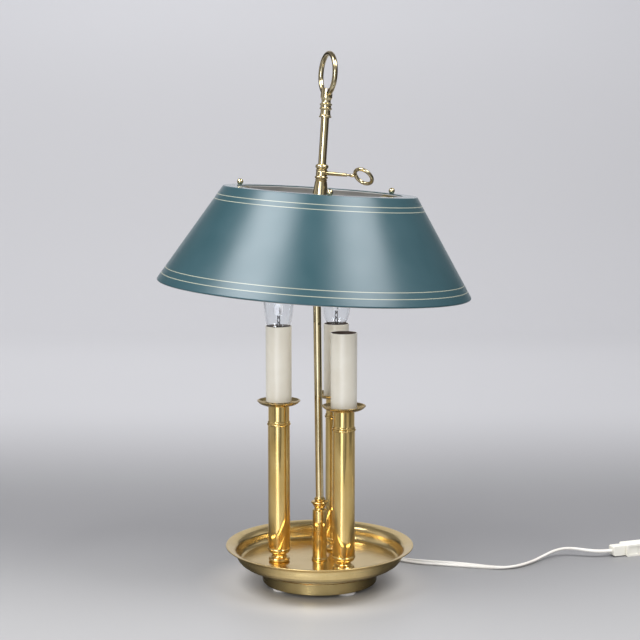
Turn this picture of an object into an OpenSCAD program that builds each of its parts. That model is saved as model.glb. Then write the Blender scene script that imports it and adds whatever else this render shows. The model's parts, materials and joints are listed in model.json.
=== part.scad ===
// Bouillotte lamp: three candle lights on a brass dish, under one metal shade that slides on a
// central stem and is held there by a thumb key. Millimetres, +Z up, origin on the table
// under the centre of the dish. The cord leaves at the back and runs off to the right.

/* [Feet and base] */
// Diameter of each foot pad
pad_d = 20; // [14:1:22]
// Height of each foot pad
pad_h = 4; // [2:0.2:6]
// Distance of the foot pads' middles from the inside of the foot ring
pad_inset = 4; // [3:0.5:10]
// Direction of the first foot pad, in degrees
pad_turn = 35; // [0:1:89]
// Thickness of the plate that closes the base
cover_t = 2; // [1.2:0.2:3]
// Outer radius of the foot ring at its top
foot_top_r = 61; // [55:0.5:66]
// How far the foot ring draws in towards its bottom edge
foot_draw = 1; // [0.5:0.5:5]
// Thickness of the foot ring at its top
foot_wall = 9.5; // [7:0.5:10]
// Height of the foot ring
foot_h = 12.8; // [11:0.2:16]
// Width of the ledge that holds the base cover
cover_ledge = 1.5; // [1:0.1:2]
// Thickness of the iron weight in the base
ballast_t = 8; // [7:0.5:9]
// Diameter of the screws that hold the base cover
cover_screw_d = 3; // [2.5:0.1:4]
// Distance of the cover screws from the centre
cover_screw_r = 30; // [26:1:31]

/* [Dish] */
// Radius of the dish at its rim
rim_r = 98.8; // [94:0.2:110]
// Radius of the bowl below the flared rim
bowl_r = 88.3; // [86:0.1:90]
// Depth of the dish from rim to floor
dish_depth = 17.2; // [13:0.2:24]
// Thickness of the dish floor
floor_t = 5; // [4:0.1:8]
// Wall thickness of the bowl
bowl_wall = 1.7; // [1.2:0.1:2.5]
// Thickness of the turned lip at the rim
lip_t = 1.1; // [0.8:0.1:1.6]
// Height of the seat that stands on the foot ring
seat_h = 3.2; // [3:0.1:4]
// How far the lip round that seat stands out over the foot ring
seat_lip = 0.4; // [0:0.1:1.5]

/* [Stem socket] */
// Height of the socket that the stem stands in
socket_h = 67.2; // [60:0.1:90]
// Radius of the socket body
socket_r = 7.5; // [7.2:0.1:9]
// Radius of the flange at the foot of the socket
socket_flange_r = 8.5; // [7.8:0.1:12]
// Radius of the turned ring near the top of the socket
socket_ring_r = 9; // [8:0.1:11]
// Outer diameter of the hollow threaded rods
rod_d = 10; // [9:0.2:10.4]
// Bore of the hollow threaded rods
rod_bore = 7; // [5:0.2:7.4]
// How far the socket screws onto its rod
socket_thread = 14; // [8:0.5:20]
// Width of the hexagon nuts across their flats
nut_af = 14; // [13:0.5:15]
// Height of the hexagon nuts
nut_h = 4; // [3:0.25:5]

/* [Stem] */
// Diameter of the stem
stem_d = 8.3; // [7:0.1:9]
// Lean of the lower stem towards the right, in degrees
stem_lean = -0.75; // [-1:0.05:1]
// Lean of the upper stem, shade and ring towards the right, in degrees
top_lean = 3.7; // [0:0.1:4]
// Stem length from the top of the socket to the middle of the coupling
lower_run = 256.8; // [240:0.1:290]
// Stem length from the middle of the coupling to the finial
upper_run = 139.3; // [130:0.1:170]
// Diameter of the ball on the stem coupling
coupling_ball_d = 15; // [13:0.5:17]
// Length of each turned end of the coupling, from its middle
coupling_end = 9; // [8:0.5:10]

/* [Finial] */
// Radius of the beads and flange of the finial collar
finial_bead_r = 6.4; // [5.8:0.1:8]
// Depth of the stem in the finial collar
finial_grip = 12; // [8:0.5:14]
// Height of the lifting ring's middle above the top of the stem
ring_lift = 44.3; // [42:0.1:54]
// Radius of the lifting ring, to the middle of its wire
ring_r = 20.6; // [16:0.1:28]
// Diameter of the ring's wire
ring_wire_d = 5.4; // [4:0.1:6]
// Direction of the ring's plane about the stem, in degrees
ring_turn = -70; // [-90:1:90]

/* [Slider collar] */
// Height of the slider's lower end above the coupling, at rest
slider_rest = 46.5; // [40:0.5:60]
// Length of the slider collar
collar_l = 45.7; // [44:0.1:56]
// Radius of the collar's body
collar_r = 5.8; // [5.6:0.1:6.4]
// Radius of the collar's beads
collar_bead_r = 6.8; // [6.6:0.1:7.6]
// Radius of the collar at the bottom of its skirt
skirt_r = 8.6; // [8.2:0.1:10]
// Radius of the barrel that the spider turns on
barrel_r = 7; // [6.5:0.1:7.4]
// Height of the nut below the spider hub
collar_nut_h = 4.6; // [3:0.1:6]
// Outer radius of the nut below the spider hub
collar_nut_r = 11; // [9:0.5:14]
// Height of the key's axis below the top of the collar
key_drop = 9; // [8:0.5:10]

/* [Key] */
// Direction in which the key points, in degrees
key_turn = -36.5; // [-60:0.5:60]
// Roll of the key's bow about its shank, in degrees
key_roll = 42; // [0:1:90]
// Distance from the stem's axis to the middle of the key's bow
key_reach = 52.5; // [44:0.5:60]
// Diameter of the key's shank where it enters the collar
key_shank_d = 4.1; // [3.4:0.1:4.6]
// Radius of the key's bow, to the middle of its wire
bow_r = 9.6; // [7:0.1:12]
// Diameter of the bow's wire
bow_wire_d = 3.8; // [3:0.1:5]

/* [Spider] */
// Height of the spider's hub
hub_h = 6; // [5:0.5:8]
// Radius of the spider's hub
hub_r = 12.5; // [10:0.5:16]
// Thickness of the spider's arms
arm_t = 2.4; // [1.6:0.1:3.5]
// Width of the spider's arms
arm_w = 8; // [6.5:0.5:12]
// Rise of the arms from hub to ledge
arm_rise = 8.4; // [6:0.1:14]

/* [Shade] */
// Radius of the shade at its bottom edge
shade_low_r = 163.1; // [140:0.1:180]
// Radius of the shade at its top edge
shade_top_r = 99.6; // [98:0.1:115]
// Height of the shade
shade_h = 100.5; // [85:0.5:110]
// Thickness of the sheet metal
shade_t = 0.9; // [0.6:0.1:1.4]
// Width of the flat ledge inside the top edge
ledge_w = 15; // [14:0.5:18]
// Depth of the edge that is turned down round the ledge's opening
lip_drop = 0.9; // [0.6:0.1:1]
// Diameter of the rolled hem at the bottom edge
hem_d = 2.4; // [2:0.1:4]
// Distance of the ball screws from the shade's top edge
screw_inset = 6.6; // [6:0.1:8.5]
// Diameter of the ball screws' heads
ball_d = 6.6; // [6:0.1:9]
// Diameter of the ball screws' studs
stud_d = 3.4; // [2.6:0.1:4]
// Direction of the first spider arm, in degrees
arm_turn = 35.5; // [0:0.5:119]

/* [Candles] */
// Distance of the candles' middles from the inside of the foot ring
candle_inset = 8.8; // [8.5:0.1:12]
// Direction of the first candle, in degrees
candle_turn = 185.5; // [183:0.5:188]
// Radius of the turned candle foot
candle_foot_r = 11.2; // [10:0.1:13]
// Height of the turned candle foot
candle_foot_h = 12; // [10:0.5:18]
// Outer diameter of the brass candle tube
tube_d = 23; // [22.5:0.1:25]
// Wall thickness of the brass candle tube
tube_wall = 1; // [0.6:0.1:1.4]
// Length of the brass candle tube
tube_l = 133.2; // [110:0.1:160]
// Length of the candle neck above the tube
neck_l = 20.5; // [16:0.5:34]
// Diameter of the candle neck
neck_d = 22; // [18:0.1:22]
// Diameter of the beads on the tube and neck
tube_bead_d = 24.8; // [23.8:0.1:27]
// Radius of the drip pan
pan_r = 22.55; // [18:0.05:27]
// Depth of the drip pan
pan_depth = 3.8; // [2:0.1:5]
// Outer diameter of the candle sleeve
sleeve_d = 27; // [26:0.1:28]
// Wall thickness of the candle sleeve
sleeve_wall = 0.8; // [0.6:0.1:1.2]
// Length of the candle sleeve
sleeve_l = 78.8; // [75:0.1:90]
// How far the first candle's sleeve is drawn up out of its pan
sleeve_lift = 3; // [0:0.1:6]

/* [Lamp holders and bulbs] */
// Outer diameter of the lamp holder
holder_d = 22; // [20:0.1:23]
// Depth of the lamp holder's top below the mouth of the raised sleeve
holder_drop = 10.8; // [9:0.1:14]
// Diameter of the bulb's screw cap
cap_d = 13.8; // [13:0.1:14]
// Length of the bulb's screw cap
cap_l = 24; // [20:0.5:28]
// Largest diameter of the bulb
bulb_d = 31; // [28:0.5:33]
// Height of the bulb's glass above its cap
bulb_h = 82; // [70:0.5:90]
// Thickness of the bulb's glass
glass_t = 0.8; // [0.6:0.1:1.2]

/* [Cord entry] */
// Direction of the cord entry, in degrees
cord_turn = 95; // [90:1:100]
// Height of the cord entry above the base cover
entry_rise = 4; // [3.8:0.1:4.6]
// Diameter of the strain relief where it passes the foot ring
relief_d = 7; // [6.4:0.1:7.4]
// Distance from the centre to the tip of the strain relief
relief_tip = 85; // [78:1:87]
// Length of the terminal block
block_l = 16; // [12:0.5:18]
// Width of the terminal block
block_w = 14; // [12:0.5:15]

/* [Cord, switch and plug] */
// Width of the flat cord
cord_w = 5.6; // [5:0.1:6.2]
// Thickness of the flat cord
cord_h = 3.4; // [3:0.1:4]
// Length of the in-line switch's middle part
switch_l = 52; // [48:1:52]
// Height of the in-line switch as it lies
switch_h = 13; // [12.4:0.2:14]
// Depth of the in-line switch, from its rocker face to its back
switch_depth = 17; // [15:0.5:20]
// Length of each end of the in-line switch
switch_end = 15; // [12:0.5:18]
// Wall thickness of the switch halves
switch_wall = 1.6; // [1.2:0.1:2]
// Length of the switch's rocker
rocker_l = 22; // [16:0.5:26]
// Radius of the cord coil, to the middle of its turns
coil_r = 30; // [26:0.5:32]
// Length of the plug's body
plug_l = 34; // [32:0.5:38]
// Width of the plug's body
plug_w = 34; // [30:0.5:36]
// Height of the plug's body
plug_h = 13.4; // [12.4:0.2:15]
// Length of the plug's pins
pin_l = 19; // [17:0.5:19.5]
// Diameter of the plug's pins
pin_d = 4; // [3.8:0.1:4.8]
// Distance between the plug's pins
pin_gap = 18.6; // [17:0.1:20]

/* [Fits] */
// Radial clearance of sliding and turning fits
slide_gap = 0.06; // [0.02:0.01:0.1]
// Radial clearance of screws and rods in their holes
thread_gap = 0.1; // [0.05:0.01:0.2]
// Clearance between pieces that move past each other
move_gap = 0.3; // [0.2:0.05:0.5]

/* [Hidden] */
$fn = 64;

// Heights of the base, from the table up
z_cover = pad_h;
z_cover_top = z_cover + cover_t;
z_foot_top = z_cover + foot_h;
z_under = z_foot_top + seat_h;
z_floor = z_under + floor_t;
z_rim = z_floor + dish_depth;
z_ballast = z_under - ballast_t;
z_entry = z_cover_top + entry_rise;
z_socket_top = z_floor + socket_h;
z_socket_shoulder = z_floor + socket_thread;

// Radii of the base, all kept in step with the foot ring
foot_bore_r = foot_top_r - foot_wall;
foot_low_r = foot_top_r - foot_draw;
seat_r = foot_top_r + seat_lip;
seat_in_r = foot_bore_r + 0.5;
ballast_r = foot_bore_r - 0.5;
pad_ring_r = foot_bore_r - pad_inset;
candle_ring_r = foot_bore_r - candle_inset;
block_start = foot_bore_r - 4.5 - block_l;

// Heights of a candle
z_tube = z_floor + candle_foot_h;
z_neck = z_tube + tube_l;
z_pan = z_neck + neck_l;
z_pan_floor = z_pan + 2;
z_holder = z_pan_floor + 4;
holder_thread = 8;
z_sleeve_top = z_pan_floor + sleeve_l;
z_holder_top = z_sleeve_top + sleeve_lift - holder_drop;
holder_l = z_holder_top - z_holder;
z_cap_top = z_holder_top;
z_cap = z_cap_top - cap_l;
sleeve_lifts = [sleeve_lift, 0, 0];
candle_turns = [for (i = [0:2]) candle_turn + 120 * i];

// The middle of the coupling, where the two lengths of stem meet
joint = [lower_run * sin(stem_lean), 0, z_socket_top + lower_run * cos(stem_lean)];

// Places along the upper stem, measured from the middle of the coupling
barrel_end = 0.5;
s_collar_nut = slider_rest + barrel_end;
s_hub = s_collar_nut + collar_nut_h;
s_hub_top = s_hub + hub_h;
s_shoulder = s_hub_top + 0.1;
s_collar_top = slider_rest + collar_l;
s_key = s_collar_top - key_drop;
s_arm = s_hub + 1.6;
s_ledge_under = s_arm + arm_t + arm_rise;
s_ledge = s_ledge_under + shade_t;
s_shade_low = s_ledge - shade_h;
s_ring = upper_run + ring_lift;

// Radii of the shade's fittings
screw_ring_r = shade_top_r - screw_inset;
ledge_in_r = shade_top_r - ledge_w;

bend_steps = 8;
cord_sides = 8;

// Points on a smooth bend from p to r, drawn towards q
function bend(p, q, r, n = bend_steps) =
    [for (i = [0:n]) let (t = i / n) (1 - t) * (1 - t) * p + 2 * t * (1 - t) * q + t * t * r];

// Points on an arc about c
function arc(c, r, from, to, n = bend_steps) =
    [for (i = [0:n]) let (a = from + (to - from) * i / n) c + r * [cos(a), sin(a)]];

// A rectangle with round corners, as points
function rounded(w, h, r) = concat(
    arc([w / 2 - r, h / 2 - r], r, 0, 90, 4), arc([r - w / 2, h / 2 - r], r, 90, 180, 4),
    arc([r - w / 2, r - h / 2], r, 180, 270, 4), arc([w / 2 - r, r - h / 2], r, 270, 360, 4));

function unit(v) = v / norm(v);
function heading(path, i) = unit(path[min(i + 1, len(path) - 1)] - path[max(i - 1, 0)]);
function carried(path, i, first) = i < 0 ? first :
    let (t = heading(path, i), last = carried(path, i - 1, first)) unit(last - (last * t) * t);

// A flat or round lead swept along a path; first is the direction of its height at the start
module swept(path, w, h, first = [0, 0, 1]) {
    rings = len(path);
    points = [for (i = [0:rings - 1])
        let (t = heading(path, i), up = carried(path, i, first), side = cross(up, t))
        for (k = [0:cord_sides - 1]) let (a = 360 * (k + 0.5) / cord_sides)
            path[i] + side * w / 2 * cos(a) + up * h / 2 * sin(a)];
    walls = [for (i = [0:rings - 2], k = [0:cord_sides - 1])
        let (m = (k + 1) % cord_sides, a = i * cord_sides, b = a + cord_sides)
        each [[a + k, b + k, b + m], [a + k, b + m, a + m]]];
    ends = [[for (k = [0:cord_sides - 1]) k],
        [for (k = [0:cord_sides - 1]) rings * cord_sides - 1 - k]];
    polyhedron(points, concat(walls, ends), convexity = 10);
}

module turned(points) rotate_extrude() polygon(points);
module hexagon(af, h) cylinder(d = af / cos(30), h = h, $fn = 6);
module on_lower_stem() translate([0, 0, z_socket_top]) rotate([0, stem_lean, 0]) children();
module on_upper_stem() translate(joint) rotate([0, top_lean, 0]) children();
module at_angle(a, r = 0) rotate([0, 0, a]) translate([r, 0, 0]) children();
module at_candle(i) at_angle(candle_turns[i], candle_ring_r) rotate([0, 0, -candle_turns[i]]) children();

// ---------------------------------------------------------------- base

cover_screw_turns = [137, 257, 17];
pad_turns = [for (k = [0:3]) pad_turn + 90 * k];

module foot_pads() color("whitesmoke")
    for (a = pad_turns) at_angle(a, pad_ring_r)
        turned([[0, 0], [pad_d / 2 - 0.8, 0], [pad_d / 2, 0.8], [pad_d / 2, pad_h], [0, pad_h]]);

screw_head_h = cover_screw_d * 0.55;
screw_head_r = cover_screw_d;
cover_screw_l = 8;

module cover_screw(grow = 0) {
    translate([0, 0, z_cover]) turned([[0, 0], [screw_head_r, 0],
        [cover_screw_d / 2 + grow, screw_head_h], [cover_screw_d / 2 + grow, cover_screw_l],
        [0, cover_screw_l]]);
}

module cover_screws() color("silver")
    for (a = cover_screw_turns) at_angle(a, cover_screw_r) cover_screw();

module base_cover() color("dimgray") difference() {
    translate([0, 0, z_cover]) cylinder(r = foot_bore_r + cover_ledge - thread_gap, h = cover_t);
    for (a = cover_screw_turns) at_angle(a, cover_screw_r) cover_screw(thread_gap);
}

module foot_ring() color("goldenrod") difference() {
    turned(concat([[foot_bore_r + cover_ledge, z_cover], [foot_low_r, z_cover]],
        bend([foot_low_r + 0.3, z_cover + 0.6], [foot_low_r + 0.4, z_cover + foot_h / 2],
            [foot_top_r - 0.2, z_foot_top - 3]),
        [[foot_top_r, z_foot_top - 2.2], [foot_top_r, z_foot_top - 1.5],
        [foot_top_r - 1.2, z_foot_top - 1], [foot_top_r - 1.2, z_foot_top],
        [foot_bore_r, z_foot_top],
        [foot_bore_r, z_cover_top], [foot_bore_r + cover_ledge, z_cover_top]]));
    along_entry() cylinder(d = relief_d + 2 * thread_gap, h = foot_top_r + 5);
    along_entry() translate([0, 0, relief_seat])
        cylinder(r = relief_flange_r + thread_gap, h = foot_top_r);
}

// Room left in the weight round the rod nuts and the terminal block
nut_room = 1;
block_room = 1;

module ballast() color("darkslategray") difference() {
    union() {
        translate([0, 0, z_ballast]) cylinder(r = ballast_r, h = ballast_t);
        for (a = cover_screw_turns) at_angle(a, cover_screw_r)
            translate([0, 0, z_cover_top])
                cylinder(r = cover_screw_d / 2 + 3.5, h = z_ballast - z_cover_top + 1);
    }
    translate([0, 0, z_ballast - 1]) cylinder(d = rod_d + 2 * thread_gap, h = ballast_t + 2);
    for (i = [0:2]) at_candle(i) translate([0, 0, z_ballast - 1])
        cylinder(d = nut_af / cos(30) + 2 * nut_room, h = ballast_t + 2);
    rotate([0, 0, cord_turn])
        translate([block_start - 3, -block_w / 2 - block_room, z_ballast - 1])
        cube([ballast_r, block_w + 2 * block_room, ballast_t + 2]);
    for (a = cover_screw_turns) at_angle(a, cover_screw_r) translate([0, 0, z_cover])
        cylinder(d = cover_screw_d + 2 * thread_gap, h = cover_screw_l + 0.5);
}

module dish() color("gold") difference() {
    turned(concat(
        [[0, z_under], [seat_in_r, z_under], [seat_in_r, z_foot_top]],
        arc([seat_r - 1.05, z_foot_top + 1.05], 1.05, -90, 60, 6),
        [[foot_top_r - 1.2, z_foot_top + 2.4]],
        bend([foot_top_r - 1, z_under], [bowl_r - 0.2, z_under - 0.7], [bowl_r, z_rim - 7]),
        bend([bowl_r + 0.1, z_rim - 6.6], [bowl_r + 1.4, z_rim - 3.4], [rim_r - 0.5, z_rim - lip_t]),
        arc([rim_r - lip_t / 2, z_rim - lip_t / 2], lip_t / 2, -60, 100, 6),
        bend([rim_r - 1.6, z_rim], [bowl_r - bowl_wall + 1.2, z_rim - 2],
            [bowl_r - bowl_wall, z_rim - 7.6]),
        bend([bowl_r - bowl_wall - 0.3, z_rim - 9.4], [bowl_r - bowl_wall - 1.2, z_floor + 0.2],
            [bowl_r - bowl_wall - 6.5, z_floor + 0.1]),
        [[bowl_r - bowl_wall - 12, z_floor], [0, z_floor]]));
    translate([0, 0, z_under - 1]) cylinder(d = rod_d + 2 * thread_gap, h = floor_t + 2);
    for (i = [0:2]) at_candle(i) translate([0, 0, z_under - 1])
        cylinder(d = rod_d + 2 * thread_gap, h = floor_t + 2);
}

// ---------------------------------------------------------------- cord entry

relief_flange_r = relief_d / 2 + 1.6;
relief_seat = foot_low_r - 1;

module along_entry() translate([0, 0, z_entry]) rotate([0, 0, cord_turn]) rotate([0, 90, 0]) children();

module terminal_block() color("ivory") rotate([0, 0, cord_turn])
    translate([block_start, -block_w / 2, z_cover_top]) difference() {
        cube([block_l, block_w, 2 * entry_rise + 1.5]);
        for (y = [block_w / 4, block_w * 3 / 4]) translate([block_l / 2, y, entry_rise + 3])
            cylinder(d = 3, h = 10);
    }

relief_grooves = [for (k = [0:3]) relief_seat + 4.5 + 4.2 * k];

module strain_relief() color("ivory") along_entry() difference() {
    turned([[0, block_start + block_l], [relief_d / 2, block_start + block_l],
        [relief_d / 2, relief_seat], [relief_flange_r, relief_seat],
        [relief_flange_r, relief_seat + 1.6], [relief_d / 2 + 0.5, relief_seat + 2.6],
        [cord_w / 2 + 0.3, relief_tip], [0, relief_tip]]);
    for (s = relief_grooves) translate([0, 0, s]) difference() {
        cylinder(r = relief_d, h = 1.6);
        translate([0, 0, -1]) cylinder(r = cord_w / 2, h = 4);
    }
}

// ---------------------------------------------------------------- candles

module candle_foot(i) color("goldenrod") at_candle(i) difference() {
    turned(concat([[0, z_floor]],
        bend([candle_foot_r - 1.5, z_floor], [candle_foot_r + 1.5, z_floor + 2.2],
            [candle_foot_r - 1.5, z_floor + 4]),
        bend([candle_foot_r - 2.3, z_floor + 4.4], [candle_foot_r - 4.8, z_floor + 5.8],
            [candle_foot_r - 3.2, z_tube - 4]),
        bend([candle_foot_r - 2.8, z_tube - 3.6], [tube_d / 2 - 0.8, z_tube - 2.8],
            [tube_d / 2 - 0.4, z_tube - 1.4]),
        [[tube_d / 2 - 0.4, z_tube],
        [tube_d / 2 - tube_wall - thread_gap, z_tube],
        [tube_d / 2 - tube_wall - thread_gap, z_tube + 5], [0, z_tube + 5]]));
    translate([0, 0, z_floor - 1]) cylinder(d = rod_d + 2 * thread_gap, h = candle_foot_h + 7);
}

module candle_tube(i) color("gold") at_candle(i)
    turned(concat([[tube_d / 2 - tube_wall, z_tube], [tube_d / 2 - 0.4, z_tube]],
        arc([tube_bead_d / 2 - 1, z_tube + 1.2], 1, -70, 70, 6),
        [[tube_d / 2, z_tube + 2.6], [tube_d / 2, z_neck], [tube_d / 2 - tube_wall, z_neck]]));

module candle_neck(i) color("goldenrod") at_candle(i) difference() {
    turned(concat([[0, z_neck - 6], [tube_d / 2 - tube_wall - thread_gap, z_neck - 6],
        [tube_d / 2 - tube_wall - thread_gap, z_neck], [tube_bead_d / 2 - 1, z_neck]],
        arc([tube_bead_d / 2 - 1.2, z_neck + 1.2], 1.2, -60, 60, 6),
        arc([tube_bead_d / 2 - 1.6, z_neck + 3.4], 1, -50, 60, 4),
        [[neck_d / 2, z_neck + 4.8], [neck_d / 2, z_pan], [0, z_pan]]));
    translate([0, 0, z_neck - 7]) cylinder(d = rod_d + 2 * thread_gap, h = neck_l + 8);
}

module drip_pan(i) color("gold") at_candle(i) difference() {
    turned(concat([[0, z_pan], [neck_d / 2 - 0.6, z_pan]],
        bend([neck_d / 2 + 0.4, z_pan + 0.4], [pan_r - 3, z_pan + 0.8],
            [pan_r - 0.4, z_pan_floor + pan_depth - 0.7]),
        arc([pan_r - 0.5, z_pan_floor + pan_depth - 0.4], 0.5, -30, 130, 4),
        bend([pan_r - 1.4, z_pan_floor + pan_depth - 0.5], [pan_r - 4.4, z_pan_floor + 0.1],
            [sleeve_d / 2 + 1.4, z_pan_floor]),
        [[holder_seat_r, z_pan_floor], [holder_seat_r, z_holder], [0, z_holder]]));
    translate([0, 0, z_pan - 1]) cylinder(d = rod_d + 2 * thread_gap, h = 10);
}

holder_seat_r = 9;

module candle_sleeve(i) color("oldlace") at_candle(i) translate([0, 0, sleeve_lifts[i]]) difference() {
    translate([0, 0, z_pan_floor]) cylinder(d = sleeve_d, h = sleeve_l);
    translate([0, 0, z_pan_floor - 1]) cylinder(d = sleeve_d - 2 * sleeve_wall, h = sleeve_l + 2);
}

// The lamp holder grips the sleeve's inside with three ribs
rib_w = 2;
rib_l = 16;
rib_start = 8;
rib_turns = [90, 210, 330];

module lamp_holder(i) color("dimgray") at_candle(i) difference() {
    union() {
        turned([[0, z_holder], [holder_seat_r, z_holder], [holder_d / 2, z_holder + 3],
            [holder_d / 2, z_holder_top - 20], [holder_d / 2 - 1, z_holder_top - 19],
            [holder_d / 2 - 1, z_holder_top - 1], [holder_d / 2 - 2, z_holder_top],
            [0, z_holder_top]]);
        intersection() {
            translate([0, 0, z_holder + rib_start])
                cylinder(d = sleeve_d - 2 * sleeve_wall, h = rib_l);
            for (a = rib_turns) rotate([0, 0, a]) translate([0, -rib_w / 2, z_holder])
                cube([sleeve_d, rib_w, holder_l / 2]);
        }
    }
    translate([0, 0, z_holder - 1]) cylinder(d = rod_d + 2 * thread_gap, h = holder_thread + 1);
    translate([0, 0, z_cap - 3]) cylinder(d = cap_d + 2 * thread_gap, h = cap_l + 4);
}

module candle_rods() color("darkgoldenrod") for (i = [0:2]) at_candle(i)
    translate([0, 0, z_rod]) difference() {
        cylinder(d = rod_d, h = z_holder + holder_thread - z_rod);
        translate([0, 0, -1]) cylinder(d = rod_bore, h = z_holder + holder_thread - z_rod + 2);
    }

z_rod = z_under - nut_h - 1.5;

module rod_nuts() color("silver") for (i = [0:2]) at_candle(i)
    translate([0, 0, z_under - nut_h]) difference() {
        hexagon(nut_af, nut_h);
        translate([0, 0, -1]) cylinder(d = rod_d + 2 * thread_gap, h = nut_h + 2);
    }

// Wires from the terminal block, round the stem nut and up each candle
wire_d = 2.2;
wire_z = (z_cover_top + z_ballast) / 2;
wire_ring = [16, 13, 19];
wire_end = [cord_turn + 9, cord_turn, cord_turn - 9];
wire_side = [4.5, 0, -4.5];

function round_centre(a, r) = [r * cos(a), r * sin(a), wire_z];
function wire_path(i) =
    let (a = candle_turns[i] > cord_turn + 180 ? candle_turns[i] - 360 : candle_turns[i],
        b = wire_end[i], r = wire_ring[i], turns = ceil(abs(b - a) / 20),
        foot = round_centre(a, candle_ring_r), out = [cos(cord_turn), sin(cord_turn), 0],
        left = [-out[1], out[0], 0])
    concat([[foot[0], foot[1], z_holder + holder_thread], [foot[0], foot[1], z_rod],
        round_centre(a, candle_ring_r) + [0, 0, 2.4], round_centre(a, candle_ring_r - 1.4) + [0, 0, 0.4],
        round_centre(a, candle_ring_r - 4), round_centre(a, r + 3)],
        [for (k = [0:turns]) round_centre(a + (b - a) * (k + 0.25) / (turns + 0.5), r)],
        [out * (block_start - 4) + left * wire_side[i] + [0, 0, wire_z],
        out * block_start + left * wire_side[i] + [0, 0, wire_z]]);

module candle_wires() color("ivory") for (i = [0:2])
    swept(wire_path(i), wire_d, wire_d, [cos(cord_turn), sin(cord_turn), 0]);

// ---------------------------------------------------------------- bulbs

// The bulb's outline; inset draws the inner face of the glass. Its neck clears the sleeve's mouth
mouth_gap = 1.3;
function bulb_line(inset) = let (r = bulb_d / 2 - inset, low = cap_d / 2 - 0.3 - inset,
        neck_r = sleeve_d / 2 - sleeve_wall - mouth_gap - inset, mouth = z_cap_top + holder_drop)
    concat(
    bend([low, z_cap_top + inset], [low + 0.4, z_cap_top + holder_drop / 2], [neck_r, mouth]),
    bend([neck_r + 0.9, mouth + 1.5], [r, z_cap_top + bulb_h * 0.24],
        [r, z_cap_top + bulb_h * 0.46]),
    bend([r * 0.99, z_cap_top + bulb_h * 0.52], [r * 0.86, z_cap_top + bulb_h * 0.78],
        [2.4 - inset, z_cap_top + bulb_h - 1.4 - inset]),
    [[0.9, z_cap_top + bulb_h - 0.4 - inset], [0, z_cap_top + bulb_h - inset],
    [0, z_cap_top + inset]]);

module bulb_glass(i) color("aliceblue", 0.3) at_candle(i) difference() {
    turned(bulb_line(0));
    turned(bulb_line(glass_t));
}

module bulb_cap(i) color("silver") at_candle(i)
    turned(concat([[0, z_cap - 3], [2.4, z_cap - 3], [3.4, z_cap - 1.4], [cap_d / 2 - 2, z_cap],
        [cap_d / 2 - 0.6, z_cap + 1.4]],
        [for (k = [0:11]) [cap_d / 2 - (k % 2 == 0 ? 0.6 : 0), z_cap + 2.4 + 1.4 * k]],
        [[cap_d / 2 - 0.4, z_cap_top - 3], [cap_d / 2, z_cap_top - 2], [cap_d / 2, z_cap_top],
        [0, z_cap_top]]));

// Glass flare, exhaust stem, lead wires, pressed bead and filament inside the bulb
lead_wire_d = 0.6;
lead_lean = 14;
bead_r = 5;
bead_h = 12.4;
bead_t = 4;
z_bead = z_sleeve_top + 14;
z_filament = z_bead + 26;

module bulb_mount(i) color("gray") at_candle(i) {
    turned([[0, z_cap_top + glass_t], [cap_d / 2 - 2, z_cap_top + glass_t],
        [2.2, z_cap_top + 6], [2.2, z_sleeve_top - 2], [0, z_sleeve_top - 2]]);
    translate([0, 0, z_bead]) intersection() {
        turned(concat([[0, 0]], bend([bead_r * 0.4, 0], [bead_r, 0.6], [bead_r, bead_h / 3]),
            bend([bead_r, bead_h / 2], [bead_r, bead_h - 1], [bead_r * 0.4, bead_h]),
            [[0, bead_h]]));
        translate([-bead_r, -bead_t / 2, -1]) cube([2 * bead_r, bead_t, bead_h + 2]);
    }
    for (side = [-1, 1]) {
        translate([1.2 * side, 0, z_sleeve_top - 3])
            cylinder(d = lead_wire_d, h = 3.6 + z_bead - z_sleeve_top);
        translate([1.5 * side, 0, z_bead + bead_h - 1]) rotate([0, lead_lean * side, 0])
            cylinder(d = lead_wire_d, h = lead_rise / cos(lead_lean));
    }
    translate([-filament_half, 0, z_filament]) rotate([0, 90, 0])
        cylinder(d = 1.2, h = 2 * filament_half);
}

lead_rise = z_filament - z_bead - bead_h + 1;
filament_half = 2 + lead_rise * tan(lead_lean);

// ---------------------------------------------------------------- stem

module stem_rod() color("darkgoldenrod") translate([0, 0, z_ballast - nut_h - 0.4]) difference() {
    cylinder(d = rod_d, h = z_socket_shoulder - z_ballast + nut_h + 0.4);
    translate([0, 0, -1]) cylinder(d = rod_bore, h = z_socket_shoulder - z_under + ballast_t + nut_h + 2);
}

module stem_nut() color("silver") translate([0, 0, z_ballast - nut_h]) difference() {
    hexagon(nut_af, nut_h);
    translate([0, 0, -1]) cylinder(d = rod_d + 2 * thread_gap, h = nut_h + 2);
}

module stem_socket() color("goldenrod") difference() {
    turned(concat([[0, z_floor], [socket_flange_r - 0.4, z_floor], [socket_flange_r, z_floor + 0.5],
        [socket_flange_r, z_floor + 1.8], [socket_r + 0.2, z_floor + 2.5], [socket_r, z_floor + 3.2],
        [socket_r, z_socket_top - 14], [socket_r - 0.5, z_socket_top - 13.2]],
        bend([socket_r - 1.7, z_socket_top - 12.6], [socket_r - 2.2, z_socket_top - 10.8],
            [socket_r - 1.4, z_socket_top - 9.2]),
        arc([socket_r - 1.4, z_socket_top - 7.8], 1.1, -60, 60, 6),
        [[socket_r - 1.3, z_socket_top - 6.6]],
        arc([socket_ring_r - 1.2, z_socket_top - 5.2], 1.2, -75, 75, 6),
        [[socket_r - 2.5, z_socket_top - 3.7], [socket_r - 2.5, z_socket_top - 2.9]],
        arc([socket_r - 3, z_socket_top - 1.7], 1.2, -60, 60, 6),
        [[socket_r - 2.6, z_socket_top], [0, z_socket_top]]));
    translate([0, 0, z_floor - 1]) cylinder(d = rod_d + 2 * thread_gap, h = socket_thread + 1);
    on_lower_stem() translate([0, 0, 2 - stem_grip]) cylinder(d = stem_d, h = stem_grip);
}

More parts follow.
